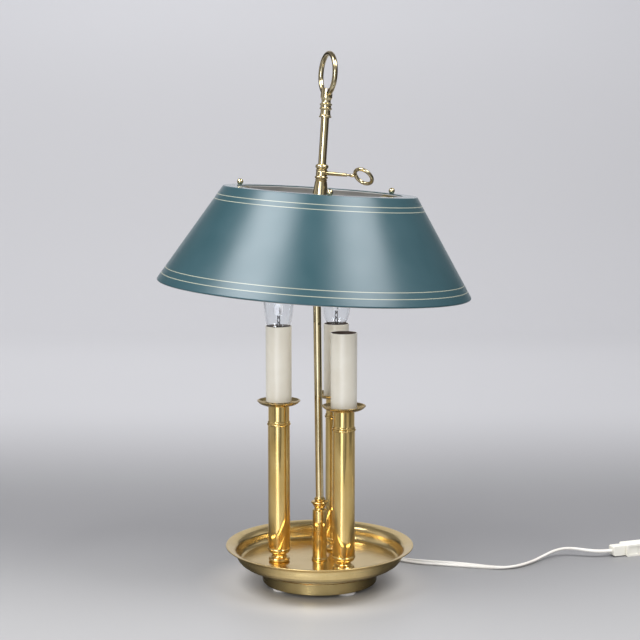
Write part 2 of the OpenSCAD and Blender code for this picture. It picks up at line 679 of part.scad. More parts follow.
stem_grip = socket_h - socket_thread - 2;

module stem_lower() color("gold") on_lower_stem()
    translate([0, 0, 2 - stem_grip]) cylinder(d = stem_d, h = lower_run - 1 + stem_grip - 2);

module stem_upper() color("gold") on_upper_stem()
    translate([0, 0, 1]) cylinder(d = stem_d, h = upper_run - 1 + finial_grip);

coupling_end_r = stem_d / 2 + 1.8;

module coupling_half() turned(concat([[0, 0], [coupling_end_r - 0.4, 0],
    [coupling_end_r - 0.4, coupling_end - 3]],
    arc([coupling_end_r - 0.8, coupling_end - 1.6], 1, -70, 70, 6),
    [[coupling_end_r - 0.8, coupling_end], [0, coupling_end]]));

module stem_coupling() color("goldenrod") difference() {
    union() {
        translate(joint) sphere(d = coupling_ball_d);
        on_upper_stem() coupling_half();
        on_lower_stem() translate([0, 0, lower_run]) mirror([0, 0, 1]) coupling_half();
    }
    on_upper_stem() translate([0, 0, 1]) cylinder(d = stem_d, h = coupling_end + 2);
    on_lower_stem() translate([0, 0, lower_run - coupling_end - 3])
        cylinder(d = stem_d, h = coupling_end + 2);
}

// ---------------------------------------------------------------- finial

fork_rise = 3.6;
fork_top = s_ring - ring_r + ring_wire_d / 2 + fork_rise;

module finial_ring() color("gold") on_upper_stem()
    translate([0, 0, s_ring]) rotate([90, 0, ring_turn]) rotate_extrude()
        translate([ring_r, 0]) circle(d = ring_wire_d);

module finial_collar() color("goldenrod") difference() {
    on_upper_stem() union() {
        translate([0, 0, upper_run]) turned(concat([[0, 0], [finial_bead_r - 0.4, 0],
            [finial_bead_r, 0.5], [finial_bead_r, 1.4]],
            bend([finial_bead_r - 0.6, 2], [finial_bead_r - 1.4, 4], [finial_bead_r - 1.3, 7.4]),
            arc([finial_bead_r - 1.1, 9.2], 1.1, -80, 80, 6),
            arc([finial_bead_r - 1.1, 13.4], 1.1, -80, 80, 6),
            bend([finial_bead_r - 1.4, 15], [finial_bead_r - 2.2, 17], [finial_bead_r - 0.8, 19.4]),
            [[finial_bead_r - 0.4, 20.2], [finial_bead_r - 0.4, fork_top - upper_run - 1],
            [finial_bead_r - 1.6, fork_top - upper_run], [0, fork_top - upper_run]]));
    }
    on_upper_stem() translate([0, 0, upper_run - 1]) cylinder(d = stem_d, h = finial_grip + 1);
    on_upper_stem() translate([0, 0, s_ring]) rotate([90, 0, ring_turn])
        translate([0, 0, -ring_wire_d / 2]) cylinder(r = ring_r, h = ring_wire_d);
    finial_ring();
}

// ---------------------------------------------------------------- slider

module slider_collar() color("goldenrod") on_upper_stem() difference() {
    turned(concat([[0, slider_rest], [barrel_r, slider_rest], [barrel_r, s_shoulder],
        [skirt_r, s_shoulder], [skirt_r, s_shoulder + 1],
        [collar_bead_r + 1.05, s_collar_top - 30.4], [collar_bead_r + 0.45, s_collar_top - 25.7],
        [collar_r + 0.4, s_collar_top - 17.8], [collar_r, s_collar_top - 17.6]],
        arc([collar_r - 0.55, s_collar_top - 16.45], 0.95, -60, 60, 4),
        [[collar_r, s_collar_top - 15.3]],
        arc([collar_bead_r - 1.4, s_collar_top - 13.6], 1.4, -70, 70, 6),
        [[collar_r, s_collar_top - 12], [collar_r, s_collar_top - 7.6]],
        arc([collar_r - 0.7, s_collar_top - 6.4], 1, -60, 60, 4),
        [[collar_r - 0.1, s_collar_top - 5.2]],
        arc([collar_bead_r - 2.4, s_collar_top - 2.5], 2.4, -70, 70, 8),
        [[collar_r - 0.8, s_collar_top], [0, s_collar_top]]));
    translate([0, 0, slider_rest - 1]) cylinder(d = stem_d + 2 * slide_gap, h = collar_l + 2);
    along_key() cylinder(d = key_shank_d + 2 * slide_gap, h = skirt_r + 5);
}

module collar_nut() color("darkgoldenrod") on_upper_stem() difference() {
    turned([[0, s_collar_nut], [collar_nut_r - 0.8, s_collar_nut], [collar_nut_r, s_collar_nut + 0.8],
        [collar_nut_r, s_hub - 0.8], [collar_nut_r - 0.8, s_hub], [0, s_hub]]);
    translate([0, 0, s_collar_nut - 1]) cylinder(r = barrel_r + thread_gap / 2, h = collar_nut_h + 2);
}

module along_key() translate([0, 0, s_key]) rotate([0, 0, key_turn]) rotate([0, 90, 0]) children();

key_tip = stem_d / 2 + move_gap;
bow_start = key_reach - bow_r;
key_neck_r = key_shank_d / 2 - 0.95;
key_bead_r = key_shank_d / 2 - 0.15;

module thumb_key() color("gold") on_upper_stem() along_key() {
    turned(concat([[0, key_tip], [key_shank_d / 2 - 0.5, key_tip], [key_shank_d / 2, key_tip + 0.6],
        [key_shank_d / 2, collar_r + 4], [key_shank_d / 2 - 0.3, bow_start - 11.5],
        [key_neck_r, bow_start - 10.5], [key_neck_r, bow_start - 8]],
        bend([key_neck_r, bow_start - 7.6], [2 * key_bead_r - key_neck_r, bow_start - 4.7],
            [key_neck_r, bow_start - 1.8]),
        [[key_neck_r + 0.35, bow_start], [0, bow_start]]));
    translate([0, 0, key_reach]) rotate([0, 0, key_roll]) rotate([90, 0, 0])
        rotate_extrude() translate([bow_r, 0]) circle(d = bow_wire_d);
}

// ---------------------------------------------------------------- spider and shade

arm_bend_r = ledge_in_r - 10.3;
arm_seat_r = ledge_in_r + shade_t + 1.8;
arm_tip_r = screw_ring_r + 4;
arm_turns = [for (k = [0:2]) arm_turn + 120 * k];

module spider() color("darkgoldenrod") on_upper_stem() difference() {
    union() {
        translate([0, 0, s_hub]) cylinder(r = hub_r, h = hub_h);
        for (a = arm_turns) rotate([0, 0, a]) rotate([90, 0, 0])
            translate([0, 0, -arm_w / 2]) linear_extrude(arm_w) polygon([
                [barrel_r + 2, s_arm], [arm_bend_r, s_arm],
                [arm_seat_r + 1, s_ledge_under - arm_t], [arm_tip_r, s_ledge_under - arm_t],
                [arm_tip_r, s_ledge_under], [arm_seat_r, s_ledge_under],
                [arm_bend_r - 1, s_arm + arm_t], [barrel_r + 2, s_arm + arm_t]]);
    }
    translate([0, 0, s_hub - 1]) cylinder(r = barrel_r + slide_gap, h = hub_h + 2);
    for (a = arm_turns) at_angle(a, screw_ring_r) translate([0, 0, s_arm])
        cylinder(d = stud_d + 2 * thread_gap, h = arm_rise + 10);
}

// The shade's sloping wall, and the hem rolled inwards at its foot
wall_slope = (shade_low_r - shade_top_r) / shade_h;
wall_lean = atan(wall_slope);
wall_in = shade_t / cos(wall_lean);
hem_r = hem_d / 2;
hem_top = s_shade_low + hem_r * (1 + sin(wall_lean));
hem_c = [wall_r(hem_top) - hem_r * cos(wall_lean), s_shade_low + hem_r];
hem_meets = acos((hem_r - shade_t) / hem_r);

function wall_r(s) = shade_low_r - (s - s_shade_low) * wall_slope;

module shade() color("cadetblue") on_upper_stem() difference() {
    turned(concat(
        arc(hem_c, hem_r, wall_lean + hem_meets, 360 + wall_lean, 12),
        [[wall_r(s_ledge - 1.1), s_ledge - 1.1], [wall_r(s_ledge - 0.3) - 0.1, s_ledge - 0.3],
        [shade_top_r - 0.7, s_ledge], [ledge_in_r, s_ledge],
        [ledge_in_r, s_ledge_under - lip_drop], [ledge_in_r + shade_t, s_ledge_under - lip_drop],
        [ledge_in_r + shade_t, s_ledge_under],
        [wall_r(s_ledge_under) - wall_in, s_ledge_under]]));
    for (a = arm_turns) at_angle(a, screw_ring_r) translate([0, 0, s_ledge_under - 1])
        cylinder(d = stud_d + 2 * thread_gap, h = shade_t + 2);
}

// Each ball has a small flat, with which it sits on the ledge
ball_flat = 0.7;
ball_low = -asin(1 - 2 * ball_flat / ball_d);

module ball_screws() color("gold") on_upper_stem() for (a = arm_turns)
    at_angle(a, screw_ring_r) translate([0, 0, s_ledge]) {
        turned(concat([[0, 0]],
            arc([0, ball_d / 2 - ball_flat], ball_d / 2, ball_low, 90, 12)));
        translate([0, 0, -stud_l]) cylinder(d = stud_d, h = stud_l + 0.4);
    }

arm_nut_h = 2.6;
stud_l = shade_t + arm_t + arm_nut_h + 0.8;

module arm_nuts() color("silver") on_upper_stem() for (a = arm_turns)
    at_angle(a, screw_ring_r) translate([0, 0, s_ledge_under - arm_t - arm_nut_h]) difference() {
        hexagon(stud_d * 1.8, arm_nut_h);
        translate([0, 0, -1]) cylinder(d = stud_d + 2 * thread_gap, h = arm_nut_h + 2);
    }

// ---------------------------------------------------------------- cord, switch and plug

// The flat cord lies on the table: its middle is half its thickness up
lay = cord_h / 2;
switch_z = switch_h / 2;
plug_z = plug_h / 2;

// Where the switch lies: the middle of its left end, and its direction
switch_at = [328, 98];
switch_turn = 20;
switch_total = switch_l + 2 * switch_end;
switch_far = switch_at + switch_total * [cos(switch_turn), sin(switch_turn)];

relief_end = relief_tip * [cos(cord_turn), sin(cord_turn)];
lead_route = concat([[relief_end[0], relief_end[1], z_entry]], [
    [-8.6, 97, z_entry - 1.4], [-7, 110, 5], [-1, 121, 3], [9, 129, lay], [22, 132, lay],
    [35, 129, lay], [48, 120, lay], [61, 106, lay], [75, 91, lay], [91, 77, lay], [110, 67, lay],
    [129, 62, lay], [147, 58, lay], [165, 54, lay], [183, 50, lay], [198, 48, lay],
    [211, 50, lay], [223, 57, lay], [236, 69, 2.5], [249, 82, 4.5], [262, 93, 7], [275, 99, 8.5],
    [288, 98, 8.5], [301, 95, 7.5], [314, 94, 6.8]],
    [[switch_at[0], switch_at[1], switch_z]]);

coil_at = [457, 101];
coil_out_r = coil_r + cord_w;
coil_h = 12.5;
run_route = [[switch_far[0], switch_far[1], switch_z], [418, 130.4, 4.5], [431, 133.6, 2.4],
    [444, 134.4, lay], [coil_at[0], coil_at[1] + coil_out_r - lay, lay]];
tail_top = coil_h - lay;
tail_x = coil_at[0] + coil_r + cord_w / 2;
plug_x = tail_x + 2;
plug_y = 52;
tail_route = [[tail_x, coil_at[1], tail_top + cord_h], [tail_x + 0.4, 88, tail_top + 1.5],
    [tail_x + 1.4, 76, 9.4], [plug_x, 64, 7.4], [plug_x, plug_y, plug_z]];

module cord_lead() color("oldlace") swept(lead_route, cord_w, cord_h);
module cord_run() color("oldlace") {
    swept(run_route, cord_w, cord_h);
    swept(tail_route, cord_w, cord_h);
}

module cord_coil() color("oldlace") translate([coil_at[0], coil_at[1], 0])
    rotate_extrude() translate([coil_r, coil_h / 2]) polygon(rounded(2 * cord_w + 0.2, coil_h, 2));

module in_switch() translate([switch_at[0], switch_at[1], switch_z]) rotate([0, 0, switch_turn])
    rotate([90, 0, 0]) children();

// Outline of the whole switch seen on its rocker face, drawn in by inset
end_h = switch_h - 2.4;
module switch_outline(inset) translate([switch_total / 2, 0]) {
    polygon(rounded(switch_l - 2 * inset, switch_h - 2 * inset, 1.6 - inset / 2));
    polygon(rounded(switch_total - 2 * inset, end_h - 2 * inset, 1.8 - inset / 2));
}

rocker_open_h = switch_h - 4.6;
rocker_pivot = switch_depth / 2 - 4;
rocker_pin_d = 2;
rocker_tip = -8;
end_face = switch_depth / 2 - 3;
switch_screw_x = [switch_end + 6, switch_end + switch_l - 6];
switch_screw_d = 2.4;
boss_r = 2.6;
screw_sink = 1;

// One half of the switch: a shell between its parting plane and its face
module switch_half(cover) difference() {
    union() {
        linear_extrude(end_face) switch_outline(0);
        translate([switch_total / 2, 0, 0]) linear_extrude(switch_depth / 2)
            polygon(rounded(switch_l, switch_h, 1.6));
    }
    difference() {
        translate([0, 0, -1]) linear_extrude(end_face - switch_wall + 1) switch_outline(switch_wall);
        for (x = switch_screw_x) translate([x, 0, -2]) cylinder(r = boss_r, h = switch_depth);
    }
    for (x = [0, switch_total]) translate([x, 0, 0])
        cube([4 * switch_wall, cord_h - 1, cord_w - 1], center = true);
    if (cover) {
        translate([switch_total / 2, 0, -1]) linear_extrude(switch_depth)
            square([rocker_l + 4 * move_gap, rocker_open_h], center = true);
        translate([switch_total / 2, 0, switch_depth / 2 - 0.8]) linear_extrude(2)
            polygon(rounded(switch_l - 5, rocker_open_h + 0.4, 0.8));
        translate([switch_total / 2, 0, rocker_pivot]) rotate([90, 0, 0])
            cylinder(d = rocker_pin_d + 2 * slide_gap, h = rocker_open_h + 2.4, center = true);
        for (x = switch_screw_x) translate([x, 0, -1])
            cylinder(d = switch_screw_d + 2 * thread_gap, h = switch_depth / 2 - 2);
    } else for (x = switch_screw_x) translate([x, 0, 0]) {
        translate([0, 0, -1]) cylinder(d = switch_screw_d + 2 * thread_gap, h = switch_depth);
        translate([0, 0, switch_depth / 2 - screw_sink]) cylinder(r = boss_r - 0.4, h = 4);
    }
}

module switch_front() color("oldlace") in_switch() switch_half(true);
module switch_back() color("oldlace") in_switch() mirror([0, 0, 1]) switch_half(false);

module switch_rocker() color("ivory") in_switch() translate([switch_total / 2, 0, rocker_pivot])
    rotate([0, rocker_tip, 0]) {
    rotate([90, 0, 0]) linear_extrude(rocker_open_h - 2 * move_gap, center = true) polygon([
        [-rocker_l / 2, 3.2], [-rocker_l / 2 + 0.6, 4.6], [0, 3.4], [rocker_l / 2 - 0.6, 4.6],
        [rocker_l / 2, 3.2], [rocker_l / 2 - 0.8, 0.4], [4, -1.8], [-4, -1.8],
        [-rocker_l / 2 + 0.8, 0.4]]);
    rotate([90, 0, 0]) cylinder(d = rocker_pin_d, h = rocker_open_h + 2, center = true);
}

module switch_screws() color("silver") in_switch() for (x = switch_screw_x)
    translate([x, 0, screw_sink - switch_depth / 2]) {
        translate([0, 0, 0.2 - screw_sink]) cylinder(r = boss_r - 0.6, h = screw_sink - 0.2);
        cylinder(d = switch_screw_d, h = switch_depth - 5);
    }

plug_waist = 11;
module plug_body() color("oldlace") translate([plug_x, plug_y, 0]) rotate([0, 0, -90])
    linear_extrude(plug_h) polygon(concat(
        bend([0, plug_waist / 2 - 1.5], [4, plug_waist / 2], [8, plug_waist / 2 + 0.4], 4),
        bend([12, plug_waist / 2 + 2], [16, plug_w / 2], [plug_l - 10, plug_w / 2], 6),
        [[plug_l - 1, plug_w / 2], [plug_l, plug_w / 2 - 1], [plug_l, 1 - plug_w / 2],
        [plug_l - 1, -plug_w / 2]],
        bend([plug_l - 10, -plug_w / 2], [16, -plug_w / 2], [12, -plug_waist / 2 - 2], 6),
        bend([8, -plug_waist / 2 - 0.4], [4, -plug_waist / 2], [0, 1.5 - plug_waist / 2], 4)));

module plug_pins() color("silver") for (side = [-1, 1])
    translate([plug_x + side * pin_gap / 2, plug_y - plug_l, plug_z]) rotate([90, 0, 0])
        turned([[0, 0], [pin_d / 2, 0], [pin_d / 2, pin_l - 1], [pin_d / 2 - 1, pin_l], [0, pin_l]]);

foot_pads();
base_cover();
cover_screws();
foot_ring();
ballast();
dish();
terminal_block();
strain_relief();
for (i = [0:2]) {
    candle_foot(i);
    candle_tube(i);
    candle_neck(i);
    drip_pan(i);
    candle_sleeve(i);
    lamp_holder(i);
}
for (i = [0, 2]) {
    bulb_glass(i);
    bulb_cap(i);
    bulb_mount(i);
}
candle_rods();
rod_nuts();
candle_wires();
stem_socket();
stem_rod();
stem_nut();
stem_lower();
stem_coupling();
stem_upper();
finial_collar();
finial_ring();
slider_collar();
collar_nut();
thumb_key();
spider();
shade();
ball_screws();
arm_nuts();
cord_lead();
cord_run();
cord_coil();
switch_back();
switch_front();
switch_rocker();
switch_screws();
plug_body();
plug_pins();
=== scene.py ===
# %% [markdown]
# # A bouillotte lamp
#
# This lesson dresses a finished CAD model of a table lamp: three candle lights on a brass dish, one
# painted shade that slides on a stem, and a cord with a switch. The CAD model gives every place and
# size, in metres, so nothing has to be fitted by eye. What is left for Blender is the camera, the
# cord, the thin wires in the bulbs, the finishes, and the light.
#
# The first cell loads the model, and `part_box` gives a node's box.

# %% Load the CAD model
import json
import math

import bpy
from mathutils import Matrix, Vector


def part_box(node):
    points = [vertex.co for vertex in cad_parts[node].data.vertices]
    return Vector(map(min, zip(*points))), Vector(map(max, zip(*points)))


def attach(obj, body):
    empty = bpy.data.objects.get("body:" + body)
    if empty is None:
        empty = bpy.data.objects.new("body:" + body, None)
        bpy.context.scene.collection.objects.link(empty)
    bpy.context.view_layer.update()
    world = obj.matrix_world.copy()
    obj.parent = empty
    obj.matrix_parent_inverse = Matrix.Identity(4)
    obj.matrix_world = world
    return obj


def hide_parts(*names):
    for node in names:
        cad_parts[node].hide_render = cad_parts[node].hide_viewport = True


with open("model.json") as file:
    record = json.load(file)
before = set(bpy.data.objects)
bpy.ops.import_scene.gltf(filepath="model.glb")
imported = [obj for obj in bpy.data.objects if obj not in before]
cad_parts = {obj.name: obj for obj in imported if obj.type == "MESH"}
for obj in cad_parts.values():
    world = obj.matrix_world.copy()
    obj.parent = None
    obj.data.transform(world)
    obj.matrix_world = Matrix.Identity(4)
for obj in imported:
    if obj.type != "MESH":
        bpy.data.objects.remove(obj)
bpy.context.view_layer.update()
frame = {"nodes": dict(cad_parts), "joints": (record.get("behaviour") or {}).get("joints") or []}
nodes = frame["nodes"]
print(len(nodes), "nodes in the CAD model")

# %% [markdown]
# ## The camera
#
# A long lens, a metre and a half away, keeps the stem straight and shows the dish as a flat ellipse.
# The camera stands a little lower than the lamp's top and looks slightly down. A constraint could aim
# it, but plain numbers are easier to read. A camera looks along its own -Z axis, so turning it 90
# degrees about X makes it look level, and a few degrees less makes it look down.

# %% Place the camera
MM = 0.001
LENS = 84.98
CAMERA_PLACE = Vector((0.4, -1554.3, 476.7))
LOOK_DOWN = 7.21

camera_data = bpy.data.cameras.new("camera")
camera_data.sensor_width = 36
camera_data.lens = LENS
camera = bpy.data.objects.new("camera", camera_data)
camera.location = CAMERA_PLACE * MM
camera.rotation_euler = (math.radians(90 - LOOK_DOWN), 0, 0)
bpy.context.scene.collection.objects.link(camera)
bpy.context.scene.camera = camera
print("camera looks down by", LOOK_DOWN, "degrees")

# %% [markdown]
# ## Meshes by hand
#
# The cord and the wires in the bulbs are outlines carried along a path. A curve with a bevel could
# draw them too. A mesh was chosen because it says exactly how far the outline is turned at each point.
#
# `mesh_piece` turns points and faces into an object. `smooth_line` rounds off a route of given
# points, and `along` measures it. `tube` carries an outline along such a line, and may turn the
# outline as it goes. `ellipse` gives one kind of outline.

# %% Tools for meshes
def mesh_piece(name, points, faces):
    """A new object with smooth shading, from points and faces in the frame's own place."""
    mesh = bpy.data.meshes.new(name)
    mesh.from_pydata([tuple(point) for point in points], [], faces)
    mesh.validate()
    mesh.shade_smooth()
    piece = bpy.data.objects.new(name, mesh)
    bpy.context.scene.collection.objects.link(piece)
    return piece


def smooth_line(route, spacing):
    """Points on one smooth curve through the route's points."""
    padded = [2 * route[0] - route[1], *route, 2 * route[-1] - route[-2]]
    line = []
    for before, start, end, after in zip(padded, padded[1:], padded[2:], padded[3:]):
        steps = max(1, round((end - start).length / spacing))
        for step in range(steps):
            t = step / steps
            line.append(0.5 * (2 * start + (end - before) * t
                               + (2 * before - 5 * start + 4 * end - after) * t ** 2
                               + (3 * start - before - 3 * end + after) * t ** 3))
    return [*line, route[-1]]


def along(line):
    """The distance along the line at each of its points."""
    distances = [0.0]
    for start, end in zip(line, line[1:]):
        distances.append(distances[-1] + (end - start).length)
    return distances


def tube(name, line, outline, turns=None, up=Vector((0, 0, 1))):
    """An outline, as points across and up, carried along a line and turned by an angle at each point."""
    turns = turns or [0.0] * len(line)
    points = []
    for index, centre in enumerate(line):
        ahead = (line[min(index + 1, len(line) - 1)] - line[max(index - 1, 0)]).normalized()
        side = ahead.cross(up).normalized()
        top = side.cross(ahead)
        turn = Matrix.Rotation(turns[index], 2)
        for corner in outline:
            across, above = turn @ Vector(corner)
            points.append(centre + side * across + top * above)
    count = len(outline)
    faces = []
    for ring in range(len(line) - 1):
        for corner in range(count):
            following = (corner + 1) % count
            low, high = ring * count, (ring + 1) * count
            faces.append((low + corner, low + following, high + following, high + corner))
    faces.append(tuple(range(count))[::-1])
    faces.append(tuple(range(len(points) - count, len(points))))
    return mesh_piece(name, points, faces)


def ellipse(width, height, corners):
    """The outline of an ellipse, as points."""
    angles = [2 * math.pi * corner / corners for corner in range(corners)]
    return [(width / 2 * math.cos(angle), height / 2 * math.sin(angle)) for angle in angles]

# %% [markdown]
# ## The cord
#
# The cord is a flat twin flex. Its route is the same as in the CAD model: out of the strain relief,
# down on the table, through the switch, and into a coil that lies outside the camera's view. A
# simulation could lay it, but one smooth curve through chosen points comes out the same every time.
#
# The numbers are millimetres, apart from `CORD_LENGTH`, which is in metres. `LAY` is the height of
# the cord's middle where it lies flat on the table.

# %% The cord's sizes and route
CORD_WIDTH = 5.6
CORD_THICKNESS = 3.4
LAY = CORD_THICKNESS / 2
RELIEF_TIP = (-7.41, 84.68, 10)
LEAD = [
    RELIEF_TIP, (-8.6, 97, 8.6), (-7, 110, 5), (-1, 121, 3), (9, 129, LAY), (22, 132, LAY),
    (35, 129, LAY), (48, 120, LAY), (61, 106, LAY), (75, 91, LAY), (91, 77, LAY), (110, 67, LAY),
    (129, 62, LAY), (147, 58, LAY), (165, 54, LAY), (183, 50, LAY), (198, 48, LAY),
    (211, 50, LAY), (223, 57, LAY), (236, 69, 2.5), (249, 82, 4.5), (262, 93, 7), (275, 99, 8.5),
    (288, 98, 8.5), (301, 95, 7.5), (314, 94, 6.8)]
SWITCH_START = Vector((328, 98, 6.5))
SWITCH_TURN = math.radians(20)
SWITCH_LENGTH = 82
SWITCH_ALONG = Vector((math.cos(SWITCH_TURN), math.sin(SWITCH_TURN), 0))
SWITCH_END = SWITCH_START + SWITCH_ALONG * SWITCH_LENGTH
RUN = [(418, 130.4, 4.5), (431, 133.6, 2.4), (444, 134.4, LAY)]
COIL_MIDDLE = Vector((457, 101, 0))
COIL_COLUMNS = (32.8, 27.2)
COIL_LAYERS = (1.75, 5.3, 8.9)
TAIL = [(490.2, 88, 12.3), (491.2, 76, 9.4), (491.8, 64, 7.4), (491.8, 52, 6.7)]
print("points on the lead", len(LEAD))

# %% [markdown]
# ### The coil
#
# The CAD model has one ring for the whole coil. Here its turns are wound by a loop: two beside each
# other on each of three layers, and a last quarter turn on top. The cord moves over to its next place
# during a short part of each turn, and each change comes earlier than the one before, so that the
# crossings don't pile up.

# %% Wind the coil
ANGLE_STEP = 6
CHANGE_ANGLE = 45
CHANGE_SPACING = 51
LAST_CHANGE = 4
TOP_INWARDS = 2.8
TOP_RISE = 4


def coil_turns():
    """The points of the coil, turn by turn from the table upwards."""
    outer, shaded_inner = COIL_COLUMNS
    low, middle, high = COIL_LAYERS
    lanes = [(outer, low), (shaded_inner, low), (shaded_inner, middle), (outer, middle), (outer, high),
             (shaded_inner, high), (outer - TOP_INWARDS, high + TOP_RISE)]
    points = []
    for turn in range(len(lanes)):
        end = 90 if turn == len(lanes) - 1 else 360
        starts = (len(lanes) - 2 - turn) * CHANGE_SPACING + LAST_CHANGE
        for angle in range(0, end, ANGLE_STEP):
            if turn == len(lanes) - 1:
                radius, height = lanes[turn]
            else:
                share = min(1, max(0, (angle - starts) / CHANGE_ANGLE))
                share = share * share * (3 - 2 * share)
                radius = lanes[turn][0] + share * (lanes[turn + 1][0] - lanes[turn][0])
                height = lanes[turn][1] + share * (lanes[turn + 1][1] - lanes[turn][1])
            heading = math.radians(90 - angle)
            out = Vector((radius * math.cos(heading), radius * math.sin(heading), height))
            points.append(COIL_MIDDLE + out)
    return points


print("points in the coil", len(coil_turns()))

# %% [markdown]
# ### Its section and its twist
#
# Two round cores side by side give the flex a flat oval section, with a groove along both faces where
# they meet. A flat flex never lies quite flat, so between the relief and the switch it twists to one
# side and the other, and it rises a little where it stands on its edge.

# %% Lay the cord
FULLNESS = 0.6  # the oval's power: at 1 it is an ellipse, and below 1 its faces are flatter
GROOVE_DEPTH = 0.5  # a share of half the thickness
GROOVE_WIDTH = 0.16  # a share of the width
MOST_TWIST = math.radians(62)
HALF_WAVES = 3.2


def cord_outline():
    """A flat oval with a groove along both faces, where the two cores meet."""
    points = []
    for across, above in ellipse(CORD_WIDTH, CORD_THICKNESS, corners=28):
        fullness = abs(above) / (CORD_THICKNESS / 2)
        above = math.copysign(CORD_THICKNESS / 2 * fullness ** FULLNESS, above)
        groove = GROOVE_DEPTH * math.exp(-(across / (GROOVE_WIDTH * CORD_WIDTH)) ** 2)
        points.append((across * MM, above * (1 - groove) * MM))
    return points


def cord_twist(distance, end):
    """How far the flex has twisted, from flat, between the relief and the switch."""
    if not 0 < distance < end:
        return 0.0
    fade = math.sin(math.pi * distance / end) ** 0.7
    return MOST_TWIST * fade * math.sin(HALF_WAVES * math.pi * distance / end)


lead_points = [Vector(point) for point in LEAD] + [SWITCH_START]
lead_length = along(smooth_line(lead_points, spacing=4))[-1]
through_switch = [SWITCH_START + SWITCH_ALONG * SWITCH_LENGTH * share for share in (0.25, 0.5, 0.75)]
cord_route = [*lead_points, *through_switch, SWITCH_END, *[Vector(point) for point in RUN],
              *coil_turns(), *[Vector(point) for point in TAIL]]
cord_line = smooth_line(cord_route, spacing=4)
cord_turns = [cord_twist(distance, lead_length) for distance in along(cord_line)]
for point, turn in zip(cord_line, cord_turns):
    half_height = math.hypot(CORD_WIDTH * math.sin(turn), CORD_THICKNESS * math.cos(turn)) / 2
    point.z = max(point.z, half_height)
cord_path = [point * MM for point in cord_line]

cord = tube("cord", cord_path, cord_outline(), cord_turns)
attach(cord, "base")
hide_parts("cord_lead", "cord_run", "cord_coil")
print("cord length", round(along(cord_path)[-1], 3))

# %% [markdown]
# ## The bulbs' lead wires
#
# The CAD model has two straight lead wires in each bulb. Real ones are twisted together below the
# pressed glass, so a pair of thin strands is wound round them here, as two helices half a turn apart.
# One of the two then runs up the front of the glass bead. The numbers are millimetres.

# %% Wind the lead wires
LEAD_DIAMETER = 0.8
LEADS_LOW = 270
LEAD_STEPS = 16
LEAD_HALF_TURNS = 3
SPREAD_LOW = 2.2
SPREAD_LOST = 1.1
BEAD_LOW = 285.8
BEAD_SIDE = 1.5
BEAD_FRONT = -2.2
BEAD_RISES = (2, 5, 8)


def lead_strand(candle, side, middle):
    """One strand of a twisted pair, from inside the sleeve up to the pressed bead."""
    route = []
    for step in range(LEAD_STEPS + 1):
        share = step / LEAD_STEPS
        turn = math.pi * (LEAD_HALF_TURNS * share + (side < 0))
        spread = SPREAD_LOW - SPREAD_LOST * share
        height = LEADS_LOW + share * (BEAD_LOW - LEADS_LOW)
        route.append(middle + Vector((spread * math.cos(turn), spread * math.sin(turn), height)))
    if side < 0:
        route += [middle + Vector((BEAD_SIDE, BEAD_FRONT, BEAD_LOW + rise)) for rise in BEAD_RISES]
    name = f"bulb_lead_{candle}_{'right' if side > 0 else 'left'}"
    line = [point * MM for point in smooth_line(route, spacing=1)]
    section = ellipse(LEAD_DIAMETER * MM, LEAD_DIAMETER * MM, corners=8)
    strand = tube(name, line, section, up=Vector((0, 1, 0)))
    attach(strand, "base")
    return strand


def node_middle(name):
    """The middle of a CAD node's box, seen from above."""
    low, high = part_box(name)
    return tuple(((low + high) / 2)[:2])


lead_strands = [lead_strand(candle, side, Vector((*node_middle(f"bulb_mount_{candle}"), 0)) / MM)
                for candle in (1, 3) for side in (-1, 1)]
print("lead strands", len(lead_strands))

# %% [markdown]
# ## Finishes as sums
#
# A procedural finish is a small sum of textures. Such nodes could be added and joined one by one, but
# then the sum is hard to see. The class below wraps one output of a node tree, so that it can be
# written with `+`, `*` and brackets. `node` makes any other kind of node.

